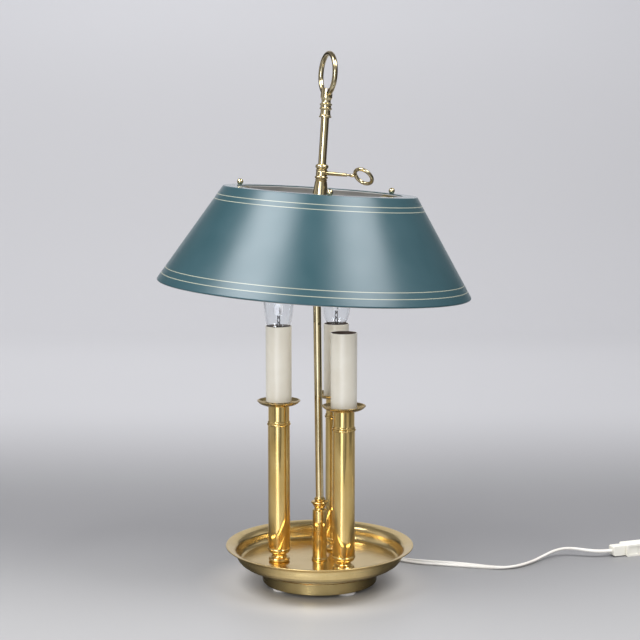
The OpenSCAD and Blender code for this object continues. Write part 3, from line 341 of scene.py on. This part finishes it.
# %% A node's output as a number
class Value:
    """One output in a node tree, which can be used like a number."""

    def __init__(self, tree, socket):
        self.tree = tree
        self.socket = socket

    def node(self, kind, settings, inputs, output=0):
        """Any node: its type, its settings, its inputs, and which output to use."""
        made = self.tree.nodes.new(kind)
        for name, setting in settings.items():
            setattr(made, name, setting)
        for name, given in inputs.items():
            if isinstance(given, Value):
                self.tree.links.new(given.socket, made.inputs[name])
            else:
                made.inputs[name].default_value = given
        return Value(self.tree, made.outputs[output])

    def maths(self, operation, *others):
        """Any operation of a Math node, on this value and the others."""
        return self.node("ShaderNodeMath", {"operation": operation}, dict(enumerate([self, *others])))

    def __add__(self, other):
        return self.maths("ADD", other)

    def __sub__(self, other):
        return self.maths("SUBTRACT", other)

    def __rsub__(self, other):
        return (self * -1) + other

    def __mul__(self, other):
        return self.maths("MULTIPLY", other)

    def __truediv__(self, other):
        return self.maths("DIVIDE", other)

    __radd__ = __add__
    __rmul__ = __mul__

    def vector(self, operation, *others, output=0):
        """Any operation of a Vector Math node. Output 0 is its vector, and output 1 its number."""
        return self.node("ShaderNodeVectorMath", {"operation": operation},
                         dict(enumerate([self, *others])), output)

    def parts(self):
        """The three parts of a vector."""
        made = self.node("ShaderNodeSeparateXYZ", {}, {0: self})
        return [Value(self.tree, output) for output in made.socket.node.outputs]

    def between(self, low, high):
        """0 below low, 1 above high, and smooth between them. It works downwards too."""
        return self.node("ShaderNodeMapRange", {"interpolation_type": "SMOOTHSTEP"},
                         {"Value": self, "From Min": low, "From Max": high})

    def past(self, limit, soft):
        """0 before a limit and 1 past it, softened by this much to both sides. Below 0 it turns round."""
        return self.between(limit - soft, limit + soft)

    def noise(self, scale, detail=3.0, roughness=0.5):
        """Cloudy noise at this place, from about 0.2 to 0.8."""
        return self.node("ShaderNodeTexNoise", {}, {"Vector": self, "Scale": scale, "Detail": detail,
                                                    "Roughness": roughness})

    def mix(self, first, second):
        """A colour between two others: the first where this value is 0, the second where it is 1."""
        def colour(given):
            return given if isinstance(given, Value) else (*given, 1)
        # A Mix node also has sockets for numbers. Its colours are inputs 6 and 7, and output 2.
        return self.node("ShaderNodeMix", {"data_type": "RGBA"},
                         {"Factor": self, 6: colour(first), 7: colour(second)}, output=2)

    def bump(self, depth):
        """A surface normal that follows this value, as a height of so many metres."""
        return self.node("ShaderNodeBump", {}, {"Height": self, "Distance": depth, "Strength": 1.0})

# %% [markdown]
# ## A material in one line
#
# Every material starts from Blender's Principled shader. Numbers that are the same all over the piece
# go straight on the shader, and only what varies over the surface is joined with nodes. The textures
# are worked out from each point's place on the lamp, so no piece has to be unwrapped.

# %% The start of each material
class Finish:
    """A new material: its constants go straight on the shader, and varying values are plugged in."""

    def __init__(self, name, **constants):
        self.material = bpy.data.materials.new(name)
        self.material.use_nodes = True
        self.tree = self.material.node_tree
        self.shader = self.tree.nodes["Principled BSDF"]
        for socket, value in constants.items():
            self.shader.inputs[socket.replace("_", " ")].default_value = value
        coordinates = self.tree.nodes.new("ShaderNodeTexCoord")
        self.place = Value(self.tree, coordinates.outputs["Object"])

    def blend_in(self, share, other):
        """Mixes another shader into the first: none of it where the share is 0, and only it at 1."""
        first = Value(self.tree, self.shader.outputs[0])
        surface = self.place.node("ShaderNodeMixShader", {}, {0: share, 1: first, 2: other})
        self.tree.links.new(surface.socket, self.tree.nodes["Material Output"].inputs["Surface"])

    def plug(self, **values):
        """Joins varying values to the shader's inputs."""
        for socket, value in values.items():
            self.tree.links.new(value.socket, self.shader.inputs[socket.replace("_", " ")])
        return self.material

# %% [markdown]
# ## Brass
#
# Polished brass is mostly reflection, so its finish is quiet: the colour drifts a little, there are
# faint smears in its gloss, and a few dark specks. The foot, the dish and the drip pans also have
# hairlines that run round their own axis, and are duller where they face outwards. On the tubes, the
# stem and the small pieces a second, rougher shader is mixed in instead. It stretches reflections, as
# many fine scratches do.
#
# The tubes are the warmest. The stem and the collars have aged to a paler, greener yellow. The ring
# on top and the thumb key are darker still, as painted shade for the dark surroundings they reflect.
# The foot is darker than the dish, as painted shade for its place under the dish's rim.

# %% The brass pieces
SPUN_DEPTH = 0.00001
WAVE_DEPTH = 0.00006


def brass(name, colour, aged, gloss, smear, spun_about=None, haze=0.0):
    """Brass of one colour that drifts to an aged one, with smears in its gloss."""
    finish = Finish(name, Metallic=1.0)
    drift = finish.place.noise(28, 5, 0.6).between(0.4, 0.75)
    smears = finish.place.noise(70, 6, 0.65).between(0.42, 0.8)
    specks = finish.place.noise(900, 2).between(0.66, 0.8)
    shade_of_metal = (specks * 0.5).mix(drift.mix(colour, aged), [part * 0.6 for part in aged])
    roughness = smears * smear + gloss
    values = {"Base_Color": shade_of_metal, "Roughness": roughness}
    if spun_about is None:
        values["Normal"] = finish.place.noise(45, 2).bump(WAVE_DEPTH)
    else:
        flat = finish.place.vector("MULTIPLY", (1, 1, 0)).vector("SUBTRACT", (*spun_about, 0))
        radius = flat.vector("LENGTH", output=1)
        height = finish.place.parts()[2]
        lines = finish.place.node("ShaderNodeTexNoise", {"noise_dimensions": "1D"},
                                  {"W": (radius + height * 0.7) * 1500, "Scale": 1.0, "Detail": 3.0})
        facing = finish.place.node("ShaderNodeNewGeometry", {}, {}, output="Normal")
        outside = facing.vector("DOT_PRODUCT", flat.vector("NORMALIZE"), output=1).between(0.05, 0.4)
        values["Normal"] = lines.bump(SPUN_DEPTH)
        values["Roughness"] = roughness + lines * 0.1 + outside * 0.10
    if haze:
        scratched = {"Metallic": 1.0, "Roughness": 0.32, "Anisotropic": 0.85,
                     "Anisotropic Rotation": 0.25, "Base Color": shade_of_metal}
        finish.blend_in(haze, finish.place.node("ShaderNodeBsdfPrincipled", {}, scratched))
    return finish.plug(**values)


warm_brass = brass("warm_brass", (0.82, 0.60, 0.24), (0.75, 0.52, 0.18), 0.03, 0.04, haze=0.3)
pale_brass = brass("pale_brass", (0.68, 0.57, 0.34), (0.53, 0.42, 0.22), 0.03, 0.05, haze=0.12)
# painted shade: a darker brass that stands in for the dark the ring and key reflect
dark_brass = brass("dark_brass", (0.55, 0.46, 0.28), (0.36, 0.29, 0.15), 0.03, 0.05, haze=0.05)
# painted shade: the foot is darker than the dish, for its place under the dish's rim
foot_brass = brass("foot_brass", (0.64, 0.49, 0.22), (0.55, 0.41, 0.17), 0.08, 0.05, (0, 0))
dish_brass = brass("dish_brass", (0.80, 0.61, 0.29), (0.71, 0.53, 0.23), 0.14, 0.08, (0, 0))
pan_brass = [brass(f"pan_brass_{candle}", (0.60, 0.46, 0.22), (0.44, 0.32, 0.15), 0.11, 0.08,
                   node_middle(f"drip_pan_{candle}")) for candle in (1, 2, 3)]
print("brass materials", len([warm_brass, pale_brass, dark_brass, foot_brass, dish_brass, *pan_brass]))

# %% [markdown]
# ## Painted shade
#
# The shade is one thin piece, painted outside, with two pairs of thin cream lines. Inside it is light
# grey: its pale paint, made darker as painted shade for the dim light inside the shade. The lines
# could be rings of their own, but they are paint, so they belong in the finish. The shade's axis leans
# a little, so the finish measures along that axis: a distance from the axis tells inside from
# outside, and a distance along it places the lines.
# The wall is straight between its foot and its head, so those two points give its radius at any
# height. They are measured on the CAD mesh: the widest point of all, and the widest near the top,
# which lies just below the rounded edge.

# %% Measure the shade
turn_joint = next(joint for joint in frame["joints"] if joint["name"] == "shade_turn")
stem_axis = Vector(turn_joint["axis"]).normalized()
stem_point = Vector(turn_joint["pos_m"])
EDGE_ZONE = 0.0015
TOP_LEVEL = 0.0001


def along_stem(point):
    """How far a point lies along the upper stem."""
    return (Vector(point) - stem_point).dot(stem_axis)


def near_top(depth):
    """The shade's points within this depth of its top, each as a radius and a height."""
    return [point for point in shade_points if point[1] > shade_top - depth]


shade_heights = [along_stem(vertex.co) for vertex in nodes["shade"].data.vertices]
shade_radii = [(vertex.co - stem_point - stem_axis * height).length
               for vertex, height in zip(nodes["shade"].data.vertices, shade_heights)]
shade_points = list(zip(shade_radii, shade_heights))
shade_low = min(shade_heights)
shade_top = max(shade_heights)
wall_foot = max(shade_points)
wall_head = max(near_top(EDGE_ZONE))
wall_slope = (wall_foot[0] - wall_head[0]) / (wall_head[1] - wall_foot[1])
shade_hole_radius = min(near_top(TOP_LEVEL))[0]
print("shade radius at its foot and head", round(wall_foot[0], 4), round(wall_head[0], 4))

# %% [markdown]
# ### Its paint
#
# Paint lies on three places, and the largest of their masks counts: the outer wall, the flat face on
# top, and the lip of the opening. The masks of the wall and the face reach a little way into the
# sheet, so that their borders are hidden inside its thickness. The lip is painted for the top
# millimetre of its height. All numbers are metres.

# %% Paint the shade
LINE_WIDTH = 0.00065
LINES_FROM_TOP = (0.0088, 0.0135)
LINES_FROM_BOTTOM = (0.0085, 0.0145)
LINE_WANDER = 0.0003
WALL_DEPTH = 0.0008
FACE_DEPTH = 0.0003
LIP_DEPTH = 0.001
LIP_WIDTH = 0.0012
MASK_SOFT = 0.0001
PEEL_DEPTH = 0.00002


def shade_paint():
    """Dark teal with cream lines where it is painted, and inside a light grey darkened as painted shade."""
    finish = Finish("shade_paint", IOR=1.6, Specular_Tint=(0.88, 0.94, 1.0, 1), Sheen_Weight=0.12,
                    Sheen_Roughness=0.3)
    offset = finish.place.vector("SUBTRACT", tuple(stem_point))
    height = offset.vector("DOT_PRODUCT", tuple(stem_axis), output=1)
    radius = offset.vector("CROSS_PRODUCT", tuple(stem_axis)).vector("LENGTH", output=1)
    wall_radius = wall_foot[0] - (height - wall_foot[1]) * wall_slope
    outside = (radius - wall_radius).past(-WALL_DEPTH, MASK_SOFT)
    top_face = height.past(shade_top - FACE_DEPTH, MASK_SOFT)
    edge = height.past(shade_top - LIP_DEPTH, MASK_SOFT)
    lip = radius.past(shade_hole_radius + LIP_WIDTH, -MASK_SOFT) * edge
    painted = outside.maths("MAXIMUM", top_face).maths("MAXIMUM", lip)
    wander = finish.place.noise(9, 1) * LINE_WANDER
    lines = 0.0
    for level in [shade_top - gap for gap in LINES_FROM_TOP] + [shade_low + gap for gap in LINES_FROM_BOTTOM]:
        distance = (height - level + wander).maths("ABSOLUTE")
        lines = distance.between(LINE_WIDTH * 0.62, LINE_WIDTH * 0.4) + lines
    clouds = finish.place.noise(22, 4).between(0.3, 0.7)
    teal = clouds.mix((0.013, 0.055, 0.068), (0.017, 0.061, 0.075))
    outer = lines.mix(teal, (0.31, 0.32, 0.25))
    # painted shade: the inside's pale paint is set darker, for the dim light inside the shade
    shaded_inner = clouds.mix((0.44, 0.435, 0.42), (0.49, 0.485, 0.47))
    roughness = clouds * 0.05 + 0.31 - top_face * 0.22
    peel = finish.place.noise(700, 2).bump(PEEL_DEPTH)
    return finish.plug(Base_Color=painted.mix(shaded_inner, outer), Roughness=roughness, Normal=peel)


painted_shade = shade_paint()
print("cream lines", len(LINES_FROM_TOP + LINES_FROM_BOTTOM))

# %% [markdown]
# ## Plastic, steel, iron and felt
#
# The small materials share one pattern: two close colours, a roughness that drifts, and a fine bump
# at the scale of the real surface. So one function makes them all. The three numbers after the
# colours are the roughness, the scale of the grain, and the grain's depth in metres.

# %% The plain materials
def moulded(name, colour, second, gloss, grain, depth, **constants):
    """A plain material: two close colours, a drifting roughness and a fine grain."""
    finish = Finish(name, **constants)
    drift = finish.place.noise(40, 4).between(0.35, 0.7)
    fine = finish.place.noise(grain, 3)
    return finish.plug(Base_Color=drift.mix(colour, second), Roughness=drift * 0.08 + gloss,
                       Normal=fine.bump(depth))


cord_plastic = moulded("cord_plastic", (0.80, 0.77, 0.71), (0.86, 0.84, 0.79), 0.34, 900, 0.00002)
switch_plastic = moulded("switch_plastic", (0.83, 0.81, 0.72), (0.87, 0.85, 0.77), 0.30, 1500, 0.00001)
holder_plastic = moulded("holder_plastic", (0.035, 0.028, 0.024), (0.05, 0.04, 0.032), 0.42, 1200, 0.00003)
pad_plastic = moulded("pad_plastic", (0.86, 0.84, 0.80), (0.90, 0.88, 0.85), 0.40, 900, 0.00003)
block_plastic = moulded("block_plastic", (0.60, 0.58, 0.50), (0.66, 0.63, 0.55), 0.40, 900, 0.00003)
plated_steel = moulded("plated_steel", (0.55, 0.55, 0.54), (0.47, 0.47, 0.46), 0.24, 600, 0.00001,
                       Metallic=1.0)
cast_iron = moulded("cast_iron", (0.06, 0.06, 0.06), (0.09, 0.08, 0.075), 0.62, 350, 0.0003, Metallic=0.7)
lead_steel = moulded("lead_steel", (0.02, 0.018, 0.016), (0.035, 0.03, 0.028), 0.35, 900, 0.00001)
felt = moulded("felt", (0.018, 0.022, 0.018), (0.03, 0.034, 0.03), 0.92, 1600, 0.0004, Sheen_Weight=0.4)
print("materials in the file", len(bpy.data.materials))

# %% [markdown]
# ## The candle sleeves
#
# Each sleeve is a glossy cream tube, dark brown inside. As on the shade, a
# distance from the sleeve's own axis tells inside from outside. The border lies within the wall.

# %% The sleeves' finish
SLEEVE_SKIN = 0.0007


def sleeve_finish(candle):
    """A cream candle sleeve, dark brown inside."""
    finish = Finish(f"sleeve_{candle}", Coat_Weight=0.6, Coat_Roughness=0.2)
    low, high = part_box(f"candle_sleeve_{candle}")
    middle = (low + high) / 2
    outer_radius = (high - low)[0] / 2
    flat = finish.place.vector("SUBTRACT", tuple(middle)).vector("MULTIPLY", (1, 1, 0))
    inside = flat.vector("LENGTH", output=1).past(outer_radius - SLEEVE_SKIN, -0.0001)
    drift = finish.place.noise(40, 4).between(0.35, 0.7)
    cream = drift.mix((0.90, 0.85, 0.72), (0.94, 0.90, 0.78))
    return finish.plug(Base_Color=inside.mix(cream, (0.14, 0.10, 0.08)), Roughness=drift * 0.08 + 0.3,
                       Normal=finish.place.noise(260, 3).bump(0.00003))

# %% [markdown]
# ## The bulbs
#
# A bulb is clear glass round a mount: lead wires, a bead where the glass is pressed flat round them,
# and a filament. Real glass lets light through in a way that takes a renderer long to find, so here
# the glass counts as open when light is looked for, and its inside isn't dark.
#
# The mount is one CAD node, so its finish changes with height: white at the bead, a painted
# highlight on its clear pressed glass, and dark metal below and above it.

# %% The bulbs' glass and mount
BEAD_FOOT = 0.2853
BEAD_HEAD = 0.2981
BEAD_SOFT = 0.0003


def clear_glass():
    """Clear glass. For shadow rays it is simply open, so light reaches what is inside the bulb."""
    finish = Finish("clear_glass", Base_Color=(0.97, 0.985, 1.0, 1), Transmission_Weight=1.0, IOR=1.45)
    shadow_ray = finish.place.node("ShaderNodeLightPath", {}, {}, output="Is Shadow Ray")
    open_glass = finish.place.node("ShaderNodeBsdfTransparent", {}, {"Color": (0.96, 0.97, 0.97, 1)})
    finish.blend_in(shadow_ray, open_glass)
    return finish.plug(Roughness=finish.place.noise(60, 3).between(0.5, 0.8) * 0.02,
                       Normal=finish.place.noise(50, 1).bump(0.00005))


def bulb_inside():
    """A painted white highlight where the glass is pressed flat round the lead wires, and dark metal below
    and above.
    """
    finish = Finish("bulb_inside", IOR=1.5)
    height = finish.place.parts()[2]
    pressed = height.past(BEAD_FOOT, BEAD_SOFT) * height.past(BEAD_HEAD, -BEAD_SOFT)
    # painted highlight: the clear pressed glass is coloured white where it shines
    bead_highlight = finish.place.noise(240, 2).between(0.4, 0.6).mix((0.80, 0.76, 0.76), (0.96, 0.95, 0.96))
    return finish.plug(Base_Color=pressed.mix((0.05, 0.045, 0.04), bead_highlight), Metallic=1 - pressed,
                       Roughness=pressed * -0.15 + 0.3)


bulb_clear = clear_glass()
bulb_core = bulb_inside()
print("the bead is", round((BEAD_HEAD - BEAD_FOOT) / MM, 1), "mm high")

# %% [markdown]
# ## Each node gets its finish
#
# A CAD node comes with material slots, and each of its slots is set to the new finish. The pieces
# that were made here start without a slot, so `append` adds one.

# %% Paint the nodes
def paint(names, material):
    """Puts one material on these CAD nodes."""
    for name in names:
        for slot in nodes[name].material_slots:
            slot.material = material


def each(*kinds):
    """The names of these kinds of node on all three candles, where a candle has one."""
    return [f"{kind}_{candle}" for kind in kinds for candle in (1, 2, 3) if f"{kind}_{candle}" in nodes]


paint(each("candle_foot", "candle_tube", "candle_neck") + ["stem_socket", "candle_rods", "stem_rod"],
      warm_brass)
paint(["stem_lower", "stem_coupling", "stem_upper", "finial_collar", "slider_collar", "collar_nut", "spider",
       "ball_screws"], pale_brass)
paint(["finial_ring", "thumb_key"], dark_brass)
paint(["dish"], dish_brass)
paint(["foot_ring"], foot_brass)
for candle, material in enumerate(pan_brass, start=1):
    paint([f"drip_pan_{candle}"], material)
paint(["shade"], painted_shade)
for candle in (1, 2, 3):
    paint([f"candle_sleeve_{candle}"], sleeve_finish(candle))
paint(each("lamp_holder"), holder_plastic)
paint(each("bulb_glass"), bulb_clear)
paint(each("bulb_mount"), bulb_core)
paint(each("bulb_cap") + ["arm_nuts", "rod_nuts", "stem_nut", "cover_screws", "switch_screws", "plug_pins"],
      plated_steel)
paint(["foot_pads"], pad_plastic)
paint(["base_cover"], felt)
paint(["ballast"], cast_iron)
paint(["terminal_block"], block_plastic)
paint(["strain_relief", "switch_back", "switch_front", "switch_rocker", "plug_body"], switch_plastic)
paint(["candle_wires"], cord_plastic)
cord.data.materials.append(cord_plastic)
for strand in lead_strands:
    strand.data.materials.append(lead_steel)
print("materials in the file", len(bpy.data.materials))

# %% [markdown]
# ## The floor
#
# The floor curves up into the backdrop, so there is no corner behind the lamp. Two planes would be
# simpler, but their corner would show as a line.

# %% The floor's shape
FLOOR_FRONT = -3.2
FLOOR_BEND = 1.9
BEND_RADIUS = 0.9
BEND_STEPS = 24
FLOOR_HALF_WIDTH = 1.3
WALL_TOP = 3.2


def sweep_section():
    """The floor's line from front to back: flat, then a quarter circle, then straight up."""
    line = [(FLOOR_FRONT, 0.0), (FLOOR_BEND, 0.0)]
    for step in range(1, BEND_STEPS + 1):
        angle = math.pi / 2 * step / BEND_STEPS
        line.append((FLOOR_BEND + BEND_RADIUS * math.sin(angle), BEND_RADIUS * (1 - math.cos(angle))))
    return [*line, (FLOOR_BEND + BEND_RADIUS, WALL_TOP)]


section = sweep_section()
sweep_points = [(side * FLOOR_HALF_WIDTH, depth, height) for depth, height in section for side in (-1, 1)]
sweep_faces = [(2 * row, 2 * row + 1, 2 * row + 3, 2 * row + 2) for row in range(len(section) - 1)]
floor = mesh_piece("floor", sweep_points, sweep_faces)
print("rows of the floor", len(section))

# %% [markdown]
# ## What polished brass sees
#
# Brass shows what is around it, and a plain pale studio would make it look flat. A whole room could
# be modelled, but bands of dark and bright on the floor and in the world do the same. Only glossy
# rays find them, which are the rays of reflections, so they don't change how the lamp is lit.
#
# The bands are placed by `side`, from -1 on the left to 1 on the right, as seen from the lamp's
# middle.

# %% Bright bands
BLACK = (0, 0, 0)
FAINT_LIGHT = (1.0, 0.98, 0.94)
STREAK_LIGHT = (1.5, 1.65, 1.95)


def bright_streak(side, spread):
    """A bright strip a little to the left of the camera, which may spread to both sides."""
    return (side + spread * 0.20).between(-0.40, -0.34) * (side - spread * 0.34).between(-0.14, -0.20)


def reflected_bands(side, spread):
    """What polished metal sees in front of the lamp: dark, with a bright streak and two faint ones."""
    right = side.between(0.38, 0.52) * side.between(0.88, 0.74)
    left = side.between(-0.70, -0.82)
    faint = (right * 0.30 + left * 0.20 + 0.07).mix(BLACK, FAINT_LIGHT)
    return bright_streak(side, spread).mix(faint, STREAK_LIGHT)

# %% [markdown]
# ## The floor's finish
#
# The floor's grey changes mostly from front to back: middling in front, darker behind the lamp, and
# pale again further back and up the backdrop. These changes are painted light and shade on a floor
# of one grey. A lighter patch close round the foot is painted light, which softens the foot's shadow.
# The backdrop also glows a little, and more so on the left. The glow is seen, directly or in brass
# and glass, but it lights nothing.

# %% Finish the floor
FRONT_GREY = (0.350, 0.349, 0.352)
BEHIND_GREY = (0.218, 0.217, 0.224)
FAR_GREY = (0.50, 0.50, 0.515)
WALL_GREY = (0.66, 0.66, 0.68)
PAINTED_LIGHT_GREY = (0.50, 0.485, 0.465)
WALL_GLOW = (0.21, 0.21, 0.217)
DARK_BAND = (0.015, 0.014, 0.013)
NEAR_LIGHT = (1.0, 1.1, 1.3)


def floor_finish():
    """Grey with painted light and shade from front to back, and dark and bright bands for reflections alone.
    """
    finish = Finish("floor_grey", Emission_Strength=1.0)
    side, depth, height = finish.place.parts()
    reach = finish.place.vector("MULTIPLY", (1, 1, 0)).vector("LENGTH", output=1)
    ray_kinds = ("Is Camera Ray", "Is Glossy Ray", "Is Transmission Ray")
    camera_ray, glossy_ray, glass_ray = [
        finish.place.node("ShaderNodeLightPath", {}, {}, output=kind) for kind in ray_kinds]

    # the grey itself: painted light and shade from front to back, and painted light round the foot
    tone = depth.between(-0.12, 0.24).mix(FRONT_GREY, BEHIND_GREY)
    tone = depth.between(0.28, 1.05).mix(tone, FAR_GREY)
    tone = height.between(0.1, 2.6).mix(tone, WALL_GREY)
    tone = (reach.between(0.14, 0.07) * (1 - glossy_ray)).mix(tone, PAINTED_LIGHT_GREY)

    # dark bands: a strip in front, all that is far in front, and both sides close to the lamp
    width = ((depth + 0.5) * -1.3).maths("MINIMUM", 0.33)
    strip = (width - (side + depth * 0.12).maths("ABSOLUTE")).between(0, 0.03)
    in_front = depth.between(0, -0.1)
    far = reach.between(0.62, 0.86) * in_front
    across = side / reach
    off_middle = across.maths("ABSOLUTE")
    near_sides = off_middle.between(0.55, 1.0) * reach.between(0.36, 0.26) * 0.95
    dark = strip.maths("MAXIMUM", far).maths("MAXIMUM", near_sides)
    tone = (dark * glossy_ray).mix(tone, DARK_BAND)

    # the backdrop's glow, and the bright bands
    wall = depth.between(0.3, 1.7) * (side.between(2.2, -1.2) * 0.35 + 0.65)
    seen = (camera_ray + glossy_ray + glass_ray).maths("MINIMUM", 1.0)
    glow = (wall * seen).mix(BLACK, WALL_GLOW)
    near_front = off_middle.between(0.6, 0.2) * reach.between(0.36, 0.26) * 0.16
    near = (bright_streak(across, 0) * reach.between(0.08, 0.3)).maths("MAXIMUM", near_front) * in_front
    bands = far.mix(near.mix(BLACK, NEAR_LIGHT), reflected_bands(across, reach.between(0.7, 1.5)))
    return finish.plug(Base_Color=tone, Emission_Color=(glossy_ray * in_front).mix(glow, bands),
                       Roughness=finish.place.noise(3, 2) * 0.05 + 0.42)


floor.data.materials.append(floor_finish())
print("floor faces", len(floor.data.polygons))

# %% [markdown]
# ## The softboxes
#
# Two large softboxes stand high at the sides, and a smaller one lower in front, to the left. A sun
# would be simpler, but its shadows are hard. The larger a light is, the softer its shadow's edge.

# %% Set up the softboxes
def softbox(name, place, target, width, height, power):
    """A rectangle of light that faces the target."""
    light = bpy.data.lights.new(name, "AREA")
    light.shape = "RECTANGLE"
    light.size = width
    light.size_y = height
    light.energy = power
    lamp = bpy.data.objects.new(name, light)
    lamp.location = place
    lamp.rotation_euler = (Vector(target) - Vector(place)).to_track_quat("-Z", "Y").to_euler()
    bpy.context.scene.collection.objects.link(lamp)


softbox("softbox_left", (-0.82, -0.46, 1.60), (0, 0, 0.35), 1.00, 0.75, 24)
softbox("softbox_right", (0.76, -0.50, 1.60), (0, 0, 0.35), 0.90, 0.75, 20.5)
softbox("softbox_front", (-0.62, -1.52, 0.66), (0, 0, 0.20), 0.35, 0.8, 8)
print("lights in the file", len(bpy.data.lights))

# %% [markdown]
# ## The world
#
# The world lights the lamp evenly from all sides with a plain grey. Reflections find more in it: the
# dark of the room behind the lamp, on its right and high in front, and the bright bands in front.

# %% Set up the world
WORLD_GREY = (0.60, 0.60, 0.625)
ROOM_DARK = (0.05, 0.048, 0.045)


def studio_world():
    """Even grey light. Reflections also find the dark of the room, and bright and dark bands in front."""
    world = bpy.data.worlds.new("studio")
    world.use_nodes = True
    tree = world.node_tree
    direction = Value(tree, tree.nodes.new("ShaderNodeTexCoord").outputs["Generated"])
    side, depth, height = direction.parts()
    flat = direction.vector("MULTIPLY", (1, 1, 0)).vector("LENGTH", output=1)
    glossy = direction.node("ShaderNodeLightPath", {}, {}, output="Is Glossy Ray")
    behind = (depth / flat).between(0.3, 0.5) * (height.between(0.35, 0.15) * 0.3 + 0.7)
    beside = (side / flat).between(0.82, 0.93) * height.maths("ABSOLUTE").between(0.4, 0.25)
    dark = behind.maths("MAXIMUM", beside).maths("MAXIMUM", height.between(0.5, 0.7) * depth.between(0.3, 0))
    level = height.maths("ABSOLUTE").between(0.48, 0.32) * depth.between(0, -0.1)
    light = (dark * glossy).mix(WORLD_GREY, ROOM_DARK)
    light = (level * glossy).mix(light, reflected_bands(side / flat, 1))
    tree.links.new(light.socket, tree.nodes["Background"].inputs["Color"])
    return world


bpy.context.scene.world = studio_world()
bpy.context.scene.view_settings.view_transform = "Standard"
print("world nodes", len(bpy.context.scene.world.node_tree.nodes))
